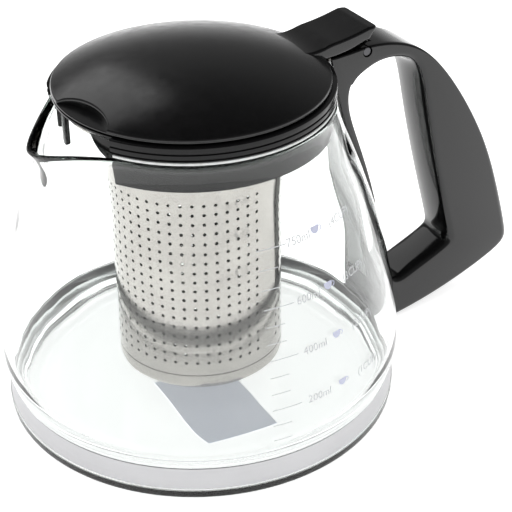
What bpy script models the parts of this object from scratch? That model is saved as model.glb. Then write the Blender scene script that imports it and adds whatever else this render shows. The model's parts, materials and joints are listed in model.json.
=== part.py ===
"""Glass teapot with a steel infuser: a turned glass jug with a poured spout, a steel band
round its base, a black collar in its neck, a loop handle, a hinged lid and a lift-out infuser.

Metres, +Z up.  The origin is the centre of the jug's flat underside, the handle points
along +X and the spout along -X, so the XZ plane is the plane of symmetry.
"""
import math

import bmesh
import bpy
from mathutils import Matrix, Vector

# --- driving dimensions (metres) -------------------------------------------------------

GAP = 0.0003                 # play between pieces that touch
TURN_STEPS = 64              # sides of a turned piece

# glass jug
JUG_HEIGHT = 0.105
JUG_RADIUS = 0.065           # just above the steel band's top edge
NECK_RADIUS = 0.0447
RIM_WALL = 0.0021
GLASS_WALL = 0.0024
FLOOR_THICKNESS = 0.0040
FLOOR_FLAT_RADIUS = 0.049
HEEL_RADIUS = 0.0030

# poured spout
SPOUT_REACH = 0.0108         # how far the lip's tip stands out of the neck
SPOUT_DROP = 0.0038          # how far the tip hangs below the rim
SPOUT_DEPTH = 0.024          # height of neck that the spout is drawn out of
SPOUT_HALF_ANGLE = math.radians(40)
SPOUT_TIP_ROUND = math.radians(5)

# steel band round the base
BAND_BOTTOM = 0.0037
BAND_HEIGHT = 0.0076
BAND_WALL = 0.0005
BAND_TAPER = 0.0006          # how much wider the band is at its lower edge

# collar in the neck
COLLAR_HEIGHT = 0.0057
COLLAR_SKIRT_DEPTH = 0.0098
COLLAR_SKIRT_WALL = 0.0018
COLLAR_LEDGE_WIDTH = 0.0020
COLLAR_LEDGE_THICKNESS = 0.0022
COLLAR_LIP_WALL = 0.0030
COLLAR_GROOVE = 0.0004
ARCH_HALF_ANGLE = math.radians(33)
ARCH_RISE = 0.0030           # height of the spout arch above the rim
TOOTH_WIDTH = 0.0021
TOOTH_THICKNESS = 0.0018
TOOTH_LENGTH = 0.0086

# lid
LID_RADIUS = 0.0432
LID_EDGE = 0.0012            # upright edge of the cover
LID_CROWN = 0.0080
LID_WALL = 0.0020
LID_LIFT = 0.0005            # gap between the cover and the collar
LID_RING_RADIUS = 0.0360
LID_RING_WALL = 0.0014
LID_RING_DEPTH = 0.0016      # how far the ring reaches down into the collar
LID_NOTCH_RISE = 0.0042
LID_NOTCH_HALF_WIDTH = 0.0196
TAIL_WIDTH = 0.0198
TAIL_THICKNESS = 0.0042
TAIL_RISE = 0.0089           # height of the tail's end above the hinge axis

# hinge
HINGE_X = 0.0593
HINGE_Z = 0.1100
PIN_RADIUS = 0.0015
KNUCKLE_RADIUS = 0.0033
KNUCKLE_WIDTH = 0.0090

# handle
HANDLE_WIDTH = 0.0170
HANDLE_ROUND = 0.0022
GRIP_REACH = 0.1262          # the handle's furthest point from the jug's axis
RIB_THICKNESS = 0.0037
FOOT_CLEARANCE = 0.0015      # height of the foot above the table
SCREW_RADIUS = 0.0009
SCREW_HEAD_RADIUS = 0.00135
SCREW_HEAD_HEIGHT = 0.0010
SCREW_SPACING = 0.0100
SCREW_LENGTH = 0.0062

# infuser
SLEEVE_RADIUS = 0.0275
STEEL_WALL = 0.0005
INFUSER_BOTTOM = 0.0130
CUP_HEIGHT = 0.0058
CUP_CORNER = 0.0045
CUP_OVERLAP = 0.0050
INFUSER_RIM_WALL = 0.0009

# silicone bedding
BEAD_THICKNESS = 0.0009

# --- sizes that follow from them -------------------------------------------------------

GLASS_PROFILE = [            # (share of height, share of the way from neck to base radius)
    (1.000, 0.000), (0.960, 0.034), (0.898, 0.128), (0.805, 0.325), (0.681, 0.557),
    (0.557, 0.764), (0.433, 0.911), (0.341, 1.005), (0.260, 1.059), (0.186, 1.089),
    (0.143, 1.050),
]
SHOULDER = JUG_RADIUS - NECK_RADIUS
BAND_TOP = BAND_BOTTOM + BAND_HEIGHT
BAND_OUTER = JUG_RADIUS
COLLAR_OUTER = NECK_RADIUS
COLLAR_BOTTOM = JUG_HEIGHT + GAP
COLLAR_TOP = COLLAR_BOTTOM + COLLAR_HEIGHT
SKIRT_OUTER = NECK_RADIUS - RIM_WALL - GAP
SKIRT_INNER = SKIRT_OUTER - COLLAR_SKIRT_WALL
SKIRT_BOTTOM = COLLAR_BOTTOM - COLLAR_SKIRT_DEPTH
LEDGE_INNER = SKIRT_INNER - COLLAR_LEDGE_WIDTH
LEDGE_TOP = COLLAR_BOTTOM + COLLAR_LEDGE_THICKNESS
LIP_INNER = COLLAR_OUTER - COLLAR_LIP_WALL
LID_BOTTOM = COLLAR_TOP + LID_LIFT
LID_SHOULDER = LID_BOTTOM + LID_EDGE
LID_RING_BOTTOM = COLLAR_TOP - LID_RING_DEPTH
RIM_RING_TOP = LEDGE_TOP + GAP + INFUSER_RIM_WALL
SLEEVE_BOTTOM = INFUSER_BOTTOM + CUP_HEIGHT + GAP

COLOURS = {
    "clear glass": ((0.93, 0.96, 0.95), 0.02, 0.0),
    "satin steel": ((0.62, 0.60, 0.58), 0.35, 1.0),
    "bright steel": ((0.72, 0.72, 0.72), 0.18, 1.0),
    "black plastic": ((0.012, 0.012, 0.013), 0.22, 0.0),
    "grey silicone": ((0.55, 0.57, 0.57), 0.60, 0.0),
}


# --- tools -----------------------------------------------------------------------------

def clear_scene():
    """Remove every object that is already in the scene."""
    for obj in list(bpy.data.objects):
        bpy.data.objects.remove(obj, do_unlink=True)


def new_collection(name):
    """Return an empty collection linked to the scene."""
    collection = bpy.data.collections.new(name)
    bpy.context.scene.collection.children.link(collection)
    return collection


def material_for(node, finish):
    """Return a Principled material of one finish, named for its node."""
    colour, roughness, metallic = COLOURS[finish]
    material = bpy.data.materials.new(node + "_finish")
    material.use_nodes = True
    shader = material.node_tree.nodes["Principled BSDF"]
    shader.inputs["Base Color"].default_value = (*colour, 1.0)
    shader.inputs["Roughness"].default_value = roughness
    shader.inputs["Metallic"].default_value = metallic
    if finish == "clear glass":
        shader.inputs["Transmission Weight"].default_value = 1.0
        shader.inputs["IOR"].default_value = 1.47
    return material


def add_part(name, mesh, finish, origin=(0.0, 0.0, 0.0)):
    """Add a sub-part, with its origin moved to a point such as its joint's axis."""
    for corner in mesh.vertices:
        corner.co.x -= origin[0]
        corner.co.y -= origin[1]
        corner.co.z -= origin[2]
    mesh.materials.clear()
    mesh.materials.append(material_for(name, finish))
    mesh.shade_smooth()
    mesh.set_sharp_from_angle(angle=math.radians(35))
    obj = bpy.data.objects.new(name, mesh)
    obj.location = origin
    PARTS.objects.link(obj)
    return obj


def add_cutter(name, mesh, origin=(0.0, 0.0, 0.0)):
    """Add a cutter, which is hidden in renders and shown as wires."""
    obj = bpy.data.objects.new(name, mesh)
    obj.location = origin
    obj.hide_render = True
    obj.display_type = "WIRE"
    CUTTERS.objects.link(obj)
    return obj


def cut(obj, cutter, operation="DIFFERENCE"):
    """Give an object an exact Boolean with a cutter."""
    boolean = obj.modifiers.new(cutter.name, "BOOLEAN")
    boolean.operation = operation
    boolean.solver = "EXACT"
    boolean.object = cutter
    return boolean


def evaluated_mesh(obj):
    """Return a mesh of an object with its modifiers applied, and remove the object."""
    bpy.context.view_layer.update()
    depsgraph = bpy.context.evaluated_depsgraph_get()
    mesh = bpy.data.meshes.new_from_object(obj.evaluated_get(depsgraph))
    mesh.transform(obj.matrix_world)
    bpy.data.objects.remove(obj, do_unlink=True)
    return mesh


def cleaned(mesh, distance=1e-6, outward=False):
    """Weld a mesh's doubles, turn its faces outwards where asked, and return it."""
    editor = bmesh.new()
    editor.from_mesh(mesh)
    bmesh.ops.remove_doubles(editor, verts=editor.verts, dist=distance)
    if outward:
        bmesh.ops.dissolve_limit(editor, angle_limit=math.radians(0.5), verts=editor.verts,
                                 edges=editor.edges)
        bmesh.ops.triangulate(editor, faces=[face for face in editor.faces if len(face.verts) > 4])
        bmesh.ops.recalc_face_normals(editor, faces=editor.faces)
    editor.to_mesh(mesh)
    editor.free()
    return mesh


def turned(profile, steps=TURN_STEPS, closed=False):
    """Turn a profile of (radius, height) round the Z axis.

    The profile runs down its outer side.  A closed profile is a ring that stays off the
    axis, and an open one starts and ends on the axis.
    """
    mesh = bpy.data.meshes.new("profile")
    corners = [(radius, 0.0, height) for radius, height in profile]
    edges = [(i, i + 1) for i in range(len(corners) - 1)]
    if closed:
        edges.append((len(corners) - 1, 0))
    mesh.from_pydata(corners, edges, [])
    obj = bpy.data.objects.new("profile", mesh)
    bpy.context.scene.collection.objects.link(obj)
    screw = obj.modifiers.new("turn", "SCREW")
    screw.steps = steps
    screw.render_steps = steps
    screw.use_merge_vertices = True
    screw.merge_threshold = 1e-6
    return cleaned(evaluated_mesh(obj))


def arc(centre, radius, start, end, count):
    """Return points on an arc in the (radius, height) plane, angles in degrees."""
    points = []
    for i in range(count + 1):
        angle = math.radians(start + (end - start) * i / count)
        points.append((centre[0] + radius * math.cos(angle), centre[1] + radius * math.sin(angle)))
    return points


def block(low, high):
    """Return a box mesh between two corners."""
    mesh = bpy.data.meshes.new("block")
    editor = bmesh.new()
    bmesh.ops.create_cube(editor, size=1.0)
    for corner in editor.verts:
        for axis in range(3):
            middle = (low[axis] + high[axis]) / 2
            corner.co[axis] = middle + corner.co[axis] * (high[axis] - low[axis])
    editor.to_mesh(mesh)
    editor.free()
    return mesh


def rod(start, end, radius, sides=24, end_radius=None):
    """Return a cylinder or cone mesh from one point to another."""
    direction = [b - a for a, b in zip(start, end)]
    length = math.sqrt(sum(part * part for part in direction))
    mesh = bpy.data.meshes.new("rod")
    editor = bmesh.new()
    last = radius if end_radius is None else end_radius
    bmesh.ops.create_cone(editor, cap_ends=True, segments=sides, radius1=radius, radius2=last,
                          depth=length)
    editor.to_mesh(mesh)
    editor.free()
    along = Vector(direction).normalized()
    turn = Vector((0.0, 0.0, 1.0)).rotation_difference(along).to_matrix().to_4x4()
    middle = Matrix.Translation([(a + b) / 2 for a, b in zip(start, end)])
    mesh.transform(middle @ turn)
    return mesh


def side_plate(outlines, width, rounding=0.0, resolution=2, curve_steps=6):
    """Extrude smooth or straight outlines in the XZ plane, centred on Y.

    Each outline is a list of (x, z, handle), where handle is AUTO for a flowing point and
    VECTOR for a corner.  The first is the outside and the others are holes.
    """
    curve = bpy.data.curves.new("plate", "CURVE")
    curve.dimensions = "2D"
    curve.fill_mode = "BOTH"
    curve.extrude = width / 2 - rounding
    curve.bevel_depth = rounding
    curve.bevel_resolution = resolution
    curve.offset = -rounding
    curve.resolution_u = curve_steps
    for outline in outlines:
        spline = curve.splines.new("BEZIER")
        spline.bezier_points.add(len(outline) - 1)
        spline.use_cyclic_u = True
        for point, (x, z, kind) in zip(spline.bezier_points, outline):
            point.co = (x, z, 0.0)
            point.handle_left_type = kind
            point.handle_right_type = kind
    obj = bpy.data.objects.new("plate", curve)
    obj.rotation_euler = (math.pi / 2, 0.0, 0.0)
    bpy.context.scene.collection.objects.link(obj)
    mesh = cleaned(evaluated_mesh(obj), 1e-5, True)
    bpy.data.curves.remove(curve)
    return mesh


# --- glass jug -------------------------------------------------------------------------

def glass_outside(clearance=0.0):
    """Return the glass's outer profile above the band, top to bottom, moved out."""
    return [(NECK_RADIUS + SHOULDER * share + clearance, JUG_HEIGHT * height)
            for height, share in GLASS_PROFILE]


def spout_shape(x, y, z):
    """Draw a point of the turned jug out into the spout.

    In plan the lip follows the two tangents from the tip to the neck, rounded at the tip.
    The draw fades to nothing at the spout's foot.
    """
    radius = math.hypot(x, y)
    if z < JUG_HEIGHT - SPOUT_DEPTH or radius < 1e-6:
        return x, y, z
    angle = abs(math.atan2(y, -x))
    soft = math.sqrt(angle * angle + SPOUT_TIP_ROUND * SPOUT_TIP_ROUND)
    lean = max(0.0, SPOUT_HALF_ANGLE - soft)
    peak = 1.0 / math.cos(SPOUT_HALF_ANGLE - SPOUT_TIP_ROUND) - 1.0
    pull = (1.0 / math.cos(lean) - 1.0) / peak
    rise = (z - JUG_HEIGHT + SPOUT_DEPTH) / SPOUT_DEPTH
    draw = pull * rise ** 1.7
    out = (radius + SPOUT_REACH * draw) / radius
    return x * out, y * out, z - SPOUT_DROP * draw


def make_glass_jug():
    """Glass jug: turned body with a flat foot, a groove for the band and a drawn spout."""
    groove_top = BAND_TOP + GAP
    groove_bottom = BAND_BOTTOM - GAP
    groove_top_radius = BAND_OUTER - BAND_WALL - GAP
    groove_bottom_radius = groove_top_radius + BAND_TAPER
    heel_outer = BAND_OUTER + BAND_TAPER + GAP
    outside = glass_outside()
    inside = [(radius - GLASS_WALL, height) for radius, height in outside[2:-1]]
    neck_in = NECK_RADIUS - RIM_WALL
    corner = FLOOR_FLAT_RADIUS
    wall_foot = groove_top_radius - GLASS_WALL
    floor_corner = [
        (corner, FLOOR_THICKNESS),
        (corner + 0.45 * (wall_foot - corner), FLOOR_THICKNESS + 0.0011),
        (corner + 0.85 * (wall_foot - corner), FLOOR_THICKNESS + 0.0046),
    ]
    rim = arc((NECK_RADIUS - RIM_WALL / 2, JUG_HEIGHT - RIM_WALL / 2), RIM_WALL / 2, 180, 0, 6)
    heel = arc((heel_outer - HEEL_RADIUS, HEEL_RADIUS), HEEL_RADIUS, 0, -90, 4)
    profile = [(0.0, FLOOR_THICKNESS)]
    profile += floor_corner
    profile += list(reversed(inside))
    profile += [(neck_in, JUG_HEIGHT - 0.0042)]
    profile += rim
    profile += outside[1:]
    profile += [(BAND_OUTER + GAP, groove_top)]
    profile += [(groove_top_radius, groove_top), (groove_bottom_radius, groove_bottom)]
    profile += heel
    profile += [(0.0, 0.0)]
    mesh = turned(profile)
    for vertex in mesh.vertices:
        vertex.co = spout_shape(*vertex.co)
    return add_part("glass_jug", mesh, "clear glass")


def make_base_band():
    """Steel band pressed round the foot of the jug, a little wider at its lower edge."""
    low = BAND_OUTER + BAND_TAPER
    profile = [
        (BAND_OUTER - BAND_WALL, BAND_TOP), (BAND_OUTER, BAND_TOP),
        (low, BAND_BOTTOM), (low - BAND_WALL, BAND_BOTTOM),
    ]
    return add_part("base_band", turned(profile, closed=True), "satin steel")


# --- collar ----------------------------------------------------------------------------

def wedge(inner, outer, half_angle, low, high):
    """Return an arch-shaped block that spans an angle each side of -X."""
    count = 12
    half_width = COLLAR_OUTER * math.sin(half_angle)
    outline = [(-half_width, low, "VECTOR")]
    for i in range(count + 1):
        angle = math.pi * i / count
        across = -half_width * math.cos(angle)
        lift = math.sin(angle) ** 0.6
        outline.append((across, low + 0.35 * (high - low) + 0.65 * (high - low) * lift, "VECTOR"))
    outline.append((half_width, low, "VECTOR"))
    mesh = side_plate([outline], outer - inner, curve_steps=1)
    mesh.transform(Matrix.Rotation(math.pi / 2, 4, "Z"))
    mesh.transform(Matrix.Translation((-(outer + inner) / 2, 0.0, 0.0)))
    return mesh


def make_collar_ring():
    """Collar glued into the neck: grooved lip, ledge for the infuser, deep skirt, spout arch."""
    groove_one = COLLAR_BOTTOM + 0.30 * COLLAR_HEIGHT
    groove_two = COLLAR_BOTTOM + 0.62 * COLLAR_HEIGHT
    half_groove = 0.0002
    profile = [(LIP_INNER, COLLAR_TOP), (COLLAR_OUTER - 0.0004, COLLAR_TOP)]
    profile += [(COLLAR_OUTER, COLLAR_TOP - 0.0004)]
    for height in (groove_two, groove_one):
        profile += [(COLLAR_OUTER, height + half_groove)]
        profile += [(COLLAR_OUTER - COLLAR_GROOVE, height + half_groove)]
        profile += [(COLLAR_OUTER - COLLAR_GROOVE, height - half_groove)]
        profile += [(COLLAR_OUTER, height - half_groove)]
    bead_seat = COLLAR_BOTTOM + BEAD_THICKNESS + GAP
    profile += [
        (COLLAR_OUTER, bead_seat), (SKIRT_OUTER, bead_seat),
        (SKIRT_OUTER, SKIRT_BOTTOM + 0.0005), (SKIRT_OUTER - 0.0005, SKIRT_BOTTOM),
        (SKIRT_INNER, SKIRT_BOTTOM), (SKIRT_INNER, LEDGE_TOP - COLLAR_LEDGE_THICKNESS),
        (LEDGE_INNER, LEDGE_TOP - 0.6 * COLLAR_LEDGE_THICKNESS), (LEDGE_INNER, LEDGE_TOP),
        (LIP_INNER, LEDGE_TOP),
    ]
    ring = add_part("collar_ring", turned(profile, closed=True), "black plastic")
    arch = wedge(LEDGE_INNER * math.cos(ARCH_HALF_ANGLE) - 0.004, COLLAR_OUTER + 0.004,
                 ARCH_HALF_ANGLE, SKIRT_BOTTOM - 0.002, JUG_HEIGHT + ARCH_RISE)
    cut(ring, add_cutter("spout_arch", arch))
    tooth_top = JUG_HEIGHT + ARCH_RISE + 0.0008
    tooth_x = -(COLLAR_OUTER - COLLAR_LIP_WALL / 2 - TOOTH_THICKNESS / 4)
    half = TOOTH_WIDTH / 2
    outline = [(-half, tooth_top, "VECTOR"), (-half, tooth_top - TOOTH_LENGTH + half, "VECTOR")]
    for i in range(1, 6):
        angle = math.pi + math.pi * i / 6
        across = half * math.cos(angle)
        outline.append((across, tooth_top - TOOTH_LENGTH + half + half * math.sin(angle), "VECTOR"))
    outline += [(half, tooth_top - TOOTH_LENGTH + half, "VECTOR"), (half, tooth_top, "VECTOR")]
    tooth = side_plate([outline], TOOTH_THICKNESS, curve_steps=1)
    tooth.transform(Matrix.Rotation(math.pi / 2, 4, "Z"))
    tooth.transform(Matrix.Translation((tooth_x, 0.0, 0.0)))
    cut(ring, add_cutter("spout_tooth", tooth), "UNION")
    z = screw_height()
    for number, y in enumerate(screw_rows(), start=1):
        hole = rod((LIP_INNER - 0.002, y, z), (COLLAR_OUTER + 0.004, y, z), SCREW_RADIUS + GAP, 12)
        cut(ring, add_cutter("collar_screw_hole_%d" % number, hole))
        sink = rod((LIP_INNER - 0.002, y, z), (screw_seat() + GAP, y, z), SCREW_HEAD_RADIUS + GAP, 16)
        cut(ring, add_cutter("collar_screw_sink_%d" % number, sink))
    return ring


def screw_rows():
    """Return the two screws' places across the handle."""
    return (-SCREW_SPACING / 2, SCREW_SPACING / 2)


def screw_height():
    """Return the height of the two screws, half way up the collar's lip."""
    return (LEDGE_TOP + COLLAR_TOP) / 2


def screw_seat():
    """Return how far out the screw heads seat in the collar's lip."""
    return LIP_INNER + SCREW_HEAD_HEIGHT + GAP


def make_rim_bead():
    """Silicone bead between the rim of the glass and the collar, open at the spout."""
    low = JUG_HEIGHT + GAP
    inner = SKIRT_OUTER + GAP
    outer = COLLAR_OUTER - 0.0004
    profile = [(inner, low + BEAD_THICKNESS), (outer, low + BEAD_THICKNESS), (outer, low), (inner, low)]
    bead = add_part("rim_bead", turned(profile, closed=True), "grey silicone")
    reach = COLLAR_OUTER + 0.004
    opening = block((-reach, -reach * math.sin(ARCH_HALF_ANGLE) - 0.001, low - 0.002),
                    (-reach * math.cos(ARCH_HALF_ANGLE) + 0.004,
                     reach * math.sin(ARCH_HALF_ANGLE) + 0.001, low + 0.004))
    cut(bead, add_cutter("bead_opening", opening))
    return bead


# --- lid -------------------------------------------------------------------------------

def dome_height(radius, reach, crown):
    """Return the height of a shallow dome above its shoulder, at a radius."""
    return crown * (1.0 - (radius / reach) ** 2) ** 0.9


def dome_profile(reach, shoulder, crown, bottom, count=9):
    """Return a turned profile from the crown of the dome down its edge to the axis."""
    profile = [(0.0, shoulder + crown)]
    for i in range(1, count):
        radius = reach * i / count
        profile.append((radius, shoulder + dome_height(radius, reach, crown)))
    profile += [(0.985 * reach, shoulder + dome_height(0.985 * reach, reach, crown))]
    profile += [(reach, shoulder - 0.0002), (reach, bottom), (0.0, bottom)]
    return profile


def tail_outline():
    """Return the side view of the lid's thumb tail, from inside the dome to its rear end."""
    end_z = HINGE_Z + TAIL_RISE
    return [
        (0.0280, LID_SHOULDER + 0.0010, "VECTOR"),
        (0.0280, LID_SHOULDER + 0.0036, "VECTOR"),
        (0.0447, end_z - 0.0026, "AUTO"),
        (0.0525, end_z - 0.0015, "AUTO"),
        (HINGE_X - 0.0006, end_z, "VECTOR"),
        (HINGE_X + 0.0013, end_z - 0.0006, "VECTOR"),
        (HINGE_X - 0.0006, end_z - TAIL_THICKNESS - 0.0001, "VECTOR"),
        (HINGE_X - 0.0069, LID_BOTTOM + 0.0014, "AUTO"),
        (0.0455, LID_BOTTOM + 0.0004, "AUTO"),
        (LID_RADIUS - 0.0012, LID_BOTTOM + 0.0003, "VECTOR"),
    ]


def make_lid_cover():
    """Lid cover: shallow dome with a spout notch, a thumb tail and a hinge knuckle."""
    dome = turned(dome_profile(LID_RADIUS, LID_SHOULDER, LID_CROWN, LID_BOTTOM))
    hinge = (HINGE_X, 0.0, HINGE_Z)
    cover = add_part("lid_cover", dome, "black plastic", hinge)
    tail = side_plate([tail_outline()], TAIL_WIDTH, 0.0009, 1, 4)
    cut(cover, add_cutter("lid_tail", tail), "UNION")
    inner_reach = LID_RADIUS - LID_WALL
    hollow = turned(dome_profile(inner_reach, LID_SHOULDER - LID_WALL + 0.0006, LID_CROWN,
                                 LID_BOTTOM - 0.002, 6), 48)
    cut(cover, add_cutter("lid_hollow", hollow))
    notch = rod((-LID_RADIUS - 0.004, 0.0, 0.0), (-LID_RADIUS + 0.0075, 0.0, 0.0), 1.0, 32)
    notch.transform(Matrix.Diagonal((1.0, LID_NOTCH_HALF_WIDTH, LID_NOTCH_RISE, 1.0)))
    notch.transform(Matrix.Translation((0.0, 0.0, LID_BOTTOM)))
    cut(cover, add_cutter("lid_notch", notch))
    knuckle = side_plate([knuckle_outline()], KNUCKLE_WIDTH, curve_steps=1)
    cut(cover, add_cutter("lid_knuckle", knuckle), "UNION")
    half = TAIL_WIDTH
    bore = rod((HINGE_X, -half, HINGE_Z), (HINGE_X, half, HINGE_Z), PIN_RADIUS + GAP, 20)
    cut(cover, add_cutter("knuckle_bore", bore))
    return cover


def knuckle_outline():
    """Return the side view of the knuckle: round the pin, with a web up to the tail."""
    outline = []
    for i in range(13):
        angle = math.radians(40 - 220 * i / 12)
        x = HINGE_X + KNUCKLE_RADIUS * math.cos(angle)
        outline.append((x, HINGE_Z + KNUCKLE_RADIUS * math.sin(angle), "VECTOR"))
    outline.append((HINGE_X - 0.0062, HINGE_Z + 0.0026, "VECTOR"))
    outline.append((HINGE_X - 0.0062, HINGE_Z + 0.0050, "VECTOR"))
    outline.append((HINGE_X - 0.0022, HINGE_Z + 0.0050, "VECTOR"))
    return outline


def make_lid_ring():
    """Ring under the cover that drops into the collar and centres the lid."""
    outer = LID_RING_RADIUS
    inner = outer - LID_RING_WALL
    top = LID_SHOULDER - LID_WALL + 0.0006 + dome_height(outer, LID_RADIUS - LID_WALL, LID_CROWN)
    inner_top = LID_SHOULDER - LID_WALL + 0.0006 + dome_height(inner, LID_RADIUS - LID_WALL, LID_CROWN)
    profile = [
        (inner, inner_top - 2 * GAP), (outer, top - 2 * GAP),
        (outer, LID_RING_BOTTOM), (inner, LID_RING_BOTTOM),
    ]
    hinge = (HINGE_X, 0.0, HINGE_Z)
    return add_part("lid_ring", turned(profile, closed=True), "black plastic", hinge)


def make_hinge_pin():
    """Steel pin through the handle's lugs and the lid's knuckle."""
    half = HANDLE_WIDTH / 2 - GAP
    mesh = rod((HINGE_X, -half, HINGE_Z), (HINGE_X, half, HINGE_Z), PIN_RADIUS, 20)
    return add_part("hinge_pin", mesh, "bright steel")


# --- handle ----------------------------------------------------------------------------

def handle_outlines():
    """Return the handle's outside and its finger hole as outlines in the XZ plane."""
    reach = GRIP_REACH
    outside = [
        (NECK_RADIUS - 0.0060, COLLAR_TOP - 0.0003, "VECTOR"),
        (HINGE_X + 0.0038, HINGE_Z + 0.0015, "AUTO"),
        (reach - 0.0461, 0.1071, "AUTO"),
        (reach - 0.0305, 0.0906, "AUTO"),
        (reach - 0.0151, 0.0656, "AUTO"),
        (reach - 0.0026, 0.0337, "AUTO"),
        (reach, 0.0220, "AUTO"),
        (reach - 0.0030, 0.0158, "AUTO"),
        (reach - 0.0290, 0.0056, "AUTO"),
        (JUG_RADIUS + 0.0110, FOOT_CLEARANCE, "AUTO"),
        (JUG_RADIUS - 0.0080, FOOT_CLEARANCE, "VECTOR"),
        (JUG_RADIUS - 0.0080, 0.0300, "AUTO"),
        (JUG_RADIUS - 0.0200, 0.0780, "AUTO"),
        (NECK_RADIUS - 0.0060, 0.0980, "AUTO"),
    ]
    hole = [
        (reach - 0.0600, 0.1057, "AUTO"),
        (reach - 0.0490, 0.1036, "AUTO"),
        (reach - 0.0437, 0.0950, "AUTO"),
        (reach - 0.0400, 0.0788, "AUTO"),
        (reach - 0.0277, 0.0310, "AUTO"),
        (reach - 0.0290, 0.0258, "AUTO"),
        (reach - 0.0430, 0.0198, "AUTO"),
        (JUG_RADIUS + 0.0125, 0.0176, "AUTO"),
        (JUG_RADIUS + 0.0080, 0.0192, "AUTO"),
        (rib_x(0.0270) + 0.0002, 0.0270, "AUTO"),
        (rib_x(0.0400), 0.0400, "AUTO"),
        (rib_x(0.0600), 0.0600, "AUTO"),
        (rib_x(0.0800), 0.0800, "AUTO"),
        (rib_x(0.0905) + 0.0010, 0.0905, "AUTO"),
        (HINGE_X - 0.0052, 0.0995, "AUTO"),
    ]
    return [outside, hole]


def rib_x(height):
    """Return where the outer face of the handle's rib runs at a height."""
    profile = sorted((z, radius) for radius, z in glass_outside())
    for (low, low_radius), (high, high_radius) in zip(profile, profile[1:]):
        if low <= height <= high:
            share = (height - low) / (high - low)
            return low_radius + share * (high_radius - low_radius) + 2 * GAP + RIB_THICKNESS
    return profile[0][1] + 2 * GAP + RIB_THICKNESS


def jug_space(clearance):
    """Return the space that the jug, band and collar take up, with a clearance."""
    low_radius = BAND_OUTER + BAND_TAPER + GAP
    top = COLLAR_TOP + 0.02
    profile = [(0.0, top), (COLLAR_OUTER + clearance, top)]
    profile += glass_outside(clearance)
    profile += [(low_radius + clearance, BAND_TOP + GAP), (low_radius + clearance, -0.01)]
    profile += [(0.0, -0.01)]
    return turned(profile)


def make_handle():
    """Loop handle with a rib down the glass, a foot at the band and lugs for the lid's pin."""
    mesh = side_plate(handle_outlines(), HANDLE_WIDTH, HANDLE_ROUND, 2, 5)
    handle = add_part("handle", mesh, "black plastic")
    cut(handle, add_cutter("jug_space", jug_space(2 * GAP + BEAD_THICKNESS)))
    slot_half = KNUCKLE_WIDTH / 2 + GAP + 0.0001
    slot_radius = KNUCKLE_RADIUS + 0.0005
    slot = rod((HINGE_X, -slot_half, HINGE_Z), (HINGE_X, slot_half, HINGE_Z), slot_radius, 32)
    cut(handle, add_cutter("knuckle_slot", slot))
    mouth = block((HINGE_X - 0.0075, -slot_half, HINGE_Z), (HINGE_X + slot_radius, slot_half, 0.13))
    cut(handle, add_cutter("knuckle_mouth", mouth))
    reach = HANDLE_WIDTH
    bore = rod((HINGE_X, -reach, HINGE_Z), (HINGE_X, reach, HINGE_Z), PIN_RADIUS + GAP, 20)
    cut(handle, add_cutter("pin_bore", bore))
    z = screw_height()
    for number, y in enumerate(screw_rows(), start=1):
        end = screw_seat() + SCREW_LENGTH + 2 * GAP
        hole = rod((COLLAR_OUTER - 0.004, y, z), (end, y, z), SCREW_RADIUS + GAP, 12)
        cut(handle, add_cutter("handle_screw_hole_%d" % number, hole))
    return handle


def make_handle_screws():
    """Two screws from inside the collar into the handle's root, under the lid."""
    seat = screw_seat()
    z = screw_height()
    for number, y in enumerate(screw_rows(), start=1):
        shank = rod((seat - SCREW_HEAD_HEIGHT / 2, y, z), (seat + SCREW_LENGTH, y, z), SCREW_RADIUS, 12)
        screw = add_part("handle_screw_%d" % number, shank, "bright steel")
        head = rod((seat - SCREW_HEAD_HEIGHT, y, z), (seat, y, z), SCREW_HEAD_RADIUS, 16)
        cut(screw, add_cutter("screw_head_%d" % number, head), "UNION")


def make_rib_pad():
    """Silicone strip that beds the handle's rib on the glass."""
    count = 10
    low = BAND_TOP + 0.010
    high = JUG_HEIGHT - 0.012
    inner = []
    for i in range(count + 1):
        height = high + (low - high) * i / count
        inner.append((rib_x(height) - RIB_THICKNESS - GAP, height))
    profile = [(radius + BEAD_THICKNESS, height) for radius, height in inner]
    profile += list(reversed(inner))
    pad = add_part("rib_pad", turned(profile, closed=True), "grey silicone")
    half = HANDLE_WIDTH / 2 - HANDLE_ROUND - 0.001
    keep = block((0.0, -half, 0.0), (0.1, half, 0.2))
    cut(pad, add_cutter("rib_pad_width", keep), "INTERSECT")
    return pad


# --- infuser ---------------------------------------------------------------------------

def make_infuser_sleeve():
    """Steel sleeve of the infuser; its wall is drilled above and plain at both ends."""
    inner = SLEEVE_RADIUS - STEEL_WALL
    top = LEDGE_TOP
    profile = [(inner, top), (SLEEVE_RADIUS, top), (SLEEVE_RADIUS, SLEEVE_BOTTOM), (inner, SLEEVE_BOTTOM)]
    return add_part("infuser_sleeve", turned(profile, 48, True), "satin steel")


def make_infuser_cup():
    """Dished floor of the infuser, whose wall tucks up inside the sleeve."""
    outer = SLEEVE_RADIUS
    tuck = SLEEVE_RADIUS - STEEL_WALL - GAP
    neck = INFUSER_BOTTOM + CUP_HEIGHT
    bottom = INFUSER_BOTTOM
    inside = arc((tuck - STEEL_WALL - CUP_CORNER, bottom + STEEL_WALL + CUP_CORNER), CUP_CORNER, -90, 0, 4)
    outside = arc((outer - CUP_CORNER, bottom + CUP_CORNER), CUP_CORNER, 0, -90, 5)
    profile = [(0.0, bottom + STEEL_WALL)] + inside
    profile += [(tuck - STEEL_WALL, neck + CUP_OVERLAP), (tuck, neck + CUP_OVERLAP), (tuck, neck)]
    profile += [(outer, neck)] + outside + [(0.0, bottom)]
    return add_part("infuser_cup", turned(profile, 48), "satin steel")


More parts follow.
